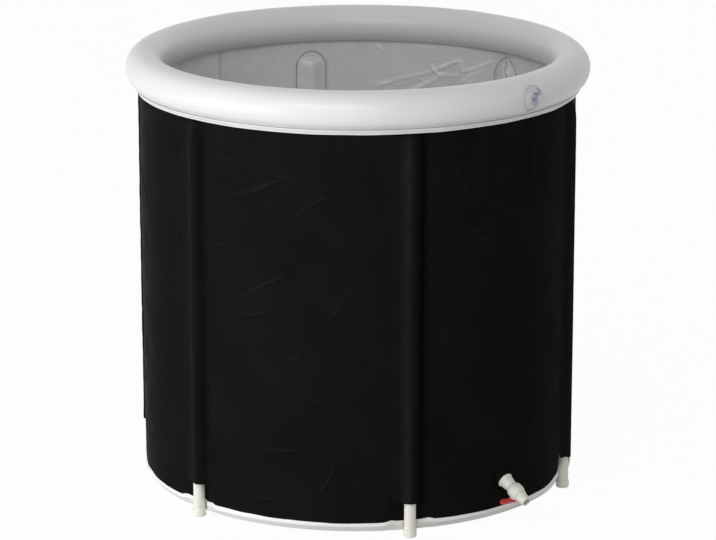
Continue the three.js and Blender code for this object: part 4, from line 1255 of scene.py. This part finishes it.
def add_tether():
    place = valve_frame()
    strap = strip_grid(6, 26)
    for vert in strap.verts:
        share = (vert.co.y + 1) / 2
        along = TETHER_START + share * (TETHER_END - TETHER_START)
        across = vert.co.x * (0.0021 + 0.0006 * math.cos(share * math.pi) ** 2)
        lift = 0.0004 + TETHER_ARCH * math.sin(share * math.pi) ** 0.8 - 0.0006 * share
        vert.co = TETHER_ALONG * along + TETHER_ACROSS * across + UP * lift
    made = piece("air_valve_tether", strap, STOPPER, [], place=place)
    thicken(made, TETHER_THICKNESS, 0)
    made.parent = None
    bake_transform(made)


# Drain and tap, in the drain's own frame

SPIGOT_SECTION = in_mm([
    (5, -29), (8, -29), (8, -0.1), (13.4, -0.1), (13.8, 0.8), (13.5, 1.9), (12.5, 2.3), (12.2, 3.4),
    (10, 17.8), (9.8, 19), (6.8, 19), (6.8, 22.6), (5, 22.6),
])
COLLAR_SECTION = in_mm([(8.4, -15), (15.6, -15), (15.4, -1.6), (14.8, -0.4), (8.4, -0.4)])
BODY_SECTION = in_mm([
    (7.1, 19.3), (9.8, 19.3), (10.8, 20.5), (12.8, 23.2), (13.5, 26.2), (13.6, 31), (13.2, 35.2),
    (12, 39), (10.8, 41.4), (10.4, 42), (7.9, 42), (7.9, 22.9), (7.1, 22.9),
])
OUTLET_SECTION = in_mm([
    (4.3, 38.1), (7.6, 38.1), (7.6, 42.3), (10.2, 42.3), (10.6, 43.2), (10.5, 44.8), (9.7, 45.6),
    (9.4, 47), (8.4, 57.2), (8.7, 58.2), (8.6, 59.4), (8, 59.9), (6.2, 59.7), (5.8, 58.6), (5.2, 48),
])
# Along the stem: the boss on the tap's body and the screw through the lever
BOSS_SECTION = in_mm([(3.2, 11), (6.4, 11), (6.2, 14.6), (5.6, 15.4), (3.2, 15.4)])
SCREW_SECTION = in_mm([
    (0, 18.3), (1.1, 18.3), (1.2, 20.6), (4, 20.6), (4, 21.4), (3, 22.5), (1.4, 22.8), (1.2, 21.8),
    (0, 21.8),
])
LEVER_WAIST = [(-0.0036, -0.0090), (-0.0034, -0.0130)]
LEVER_OUTLINE = [
    *arc((0, 0), 0.0066, -40, 220, 14), *LEVER_WAIST, (-0.0050, -0.0185),
    *arc((0, -0.0232), 0.0049, 180, 360, 10), (0.0050, -0.0185), *[(-x, y) for x, y in reversed(LEVER_WAIST)],
]
LEVER_HEIGHT = 0.0158
LEVER_THICKNESS = 0.0045
RIB_COUNT = 4
RIB_SIZE = (0.0066, 0.0009, 0.0007)
RIB_PITCH = 0.0021


def add_drain():
    place = drain_frame()
    piece("drain_spigot_moulding", turned(SPIGOT_SECTION, 0.0006, 56), TAP, ["drain_spigot"],
          place=place)
    made = piece("drain_collar_patch", turned(COLLAR_SECTION, 0.0008, 56), BLACK, ["drain_collar"],
                 place=place)
    wrap_uv(made, WALL_RADIUS)


def add_tap():
    place = drain_frame()
    piece("tap_body_moulding", turned(BODY_SECTION, 0.0011, 64), TAP, ["tap_body"],
          place=place)
    piece("tap_outlet_moulding", turned(OUTLET_SECTION, 0.0006, 56), TAP, ["tap_outlet"],
          place=place)
    stem_place = place @ Matrix.Translation((0, 0, BALL_CENTRE)) @ Matrix.Rotation(math.pi / 2, 4, "Y")
    piece("tap_stem_boss", turned(BOSS_SECTION, 0.0006, 40), TAP, [], place=stem_place)

    lever = eased(pushed(LEVER_OUTLINE, LEVER_THICKNESS), 0.0009, segments=3)
    lever_place = stem_place @ Matrix.Translation((0, 0, LEVER_HEIGHT))
    piece("tap_lever_moulding", lever, RED, ["tap_lever"], "tap_handle", lever_place)
    ribs = bmesh.new()
    for k in range(RIB_COUNT):
        rib = bmesh.ops.create_cube(ribs, size=1)["verts"]
        bmesh.ops.scale(ribs, verts=rib, vec=RIB_SIZE)
        bmesh.ops.translate(ribs, verts=rib, vec=(0, -0.0184 - RIB_PITCH * k, LEVER_THICKNESS + 0.0001))
    piece("tap_lever_grip", eased(ribs, 0.0002), RED, [], "tap_handle", lever_place)
    piece("lever_screw_turned", turned(SCREW_SECTION, 0.0003, 32, closed=False), STEEL, ["lever_screw"],
          "tap_handle", stem_place)


# Stage: floor, backdrop, lights and camera

CAMERA_PLACE = (0, -5.7223, 1.9347)
CAMERA_PITCH = math.radians(74.65)
CAMERA_LENS = 170.2
FLOOR_HALF = 30
FLOOR_GREY = (0.88, 0.88, 0.88, 1)
FLOOR_WHITE_SHARE = 0.965
FILL_STRENGTH = 0.47


def seen_white(tree, lit, white, share, output):
    """Mixes plain white into a surface for what the camera, gloss and clear parts see of it."""
    path = tree.nodes.new("ShaderNodeLightPath")
    seen = calculated(tree, "MAXIMUM", path.outputs["Is Camera Ray"], path.outputs["Is Glossy Ray"])
    seen = calculated(tree, "MAXIMUM", seen, path.outputs["Is Transmission Ray"])
    seen = calculated(tree, "MULTIPLY", seen, share)
    mix = tree.nodes.new("ShaderNodeMixShader")
    tree.links.new(seen, mix.inputs[0])
    tree.links.new(lit.outputs[0], mix.inputs[1])
    tree.links.new(white.outputs[0], mix.inputs[2])
    tree.links.new(mix.outputs[0], output.inputs["Surface"])


def add_floor():
    bm = bmesh.new()
    bmesh.ops.create_grid(bm, x_segments=1, y_segments=1, size=FLOOR_HALF)
    mesh = bpy.data.meshes.new("floor")
    bm.to_mesh(mesh)
    bm.free()
    floor = bpy.data.objects.new("floor", mesh)
    bpy.context.scene.collection.objects.link(floor)
    material = bpy.data.materials.new("pale_floor")
    material.use_nodes = True
    nodes = material.node_tree.nodes
    nodes.clear()
    output = nodes.new("ShaderNodeOutputMaterial")
    matt = nodes.new("ShaderNodeBsdfDiffuse")
    matt.inputs["Color"].default_value = FLOOR_GREY
    white = nodes.new("ShaderNodeEmission")
    seen_white(material.node_tree, matt, white, FLOOR_WHITE_SHARE, output)
    mesh.materials.append(material)


def add_world():
    world = bpy.data.worlds.new("studio")
    bpy.context.scene.world = world
    world.use_nodes = True
    nodes = world.node_tree.nodes
    nodes.clear()
    output = nodes.new("ShaderNodeOutputWorld")
    fill = nodes.new("ShaderNodeBackground")
    fill.inputs["Strength"].default_value = FILL_STRENGTH
    white = nodes.new("ShaderNodeBackground")
    white.inputs["Color"].default_value = (1, 1, 1, 1)
    seen_white(world.node_tree, fill, white, 1, output)


def add_lamp(name, place, aim, size, power):
    lamp = bpy.data.lights.new(name, "AREA")
    lamp.shape = "RECTANGLE"
    lamp.size, lamp.size_y = size
    lamp.energy = power
    made = bpy.data.objects.new(name, lamp)
    made.location = place
    made.rotation_euler = (Vector(aim) - Vector(place)).to_track_quat("-Z", "Y").to_euler()
    made.visible_camera = False
    bpy.context.scene.collection.objects.link(made)


def add_camera():
    lens = bpy.data.cameras.new("camera")
    lens.sensor_width = 36
    lens.lens = CAMERA_LENS
    camera = bpy.data.objects.new("camera", lens)
    camera.location = CAMERA_PLACE
    camera.rotation_euler = (CAMERA_PITCH, 0, 0)
    bpy.context.scene.collection.objects.link(camera)
    bpy.context.scene.camera = camera


bpy.context.scene.view_settings.view_transform = "Standard"
add_camera()
add_floor()
add_world()
add_lamp("key", place=(-2.95, -1.83, 0.38), aim=(0, 0, 0.38), size=(2.2, 0.9), power=55)
add_lamp("front", place=(-0.62, -2.35, 1.95), aim=(0, 0, 0.5), size=(1.7, 0.9), power=19)

add_outer_skin()
add_liner()
for pole_index, pole_azimuth in enumerate(POLE_AZIMUTHS):
    add_sleeve(pole_index, pole_azimuth)
    add_pocket(pole_index, pole_azimuth)
    add_pole(pole_index, pole_azimuth)
add_foam()
add_hem()
add_base_sheet()
add_liner_floor()
add_ring()
add_skirt()
add_valve()
add_tether()
add_drain()
add_tap()
dress({"drain_gasket": SEAL, "drain_nut": TAP, "tap_ball": SEAT, "tap_seat_in": SEAT, "tap_seat_out": SEAT,
       "tap_stem": TAP, "air_valve_flap": CLEAR})
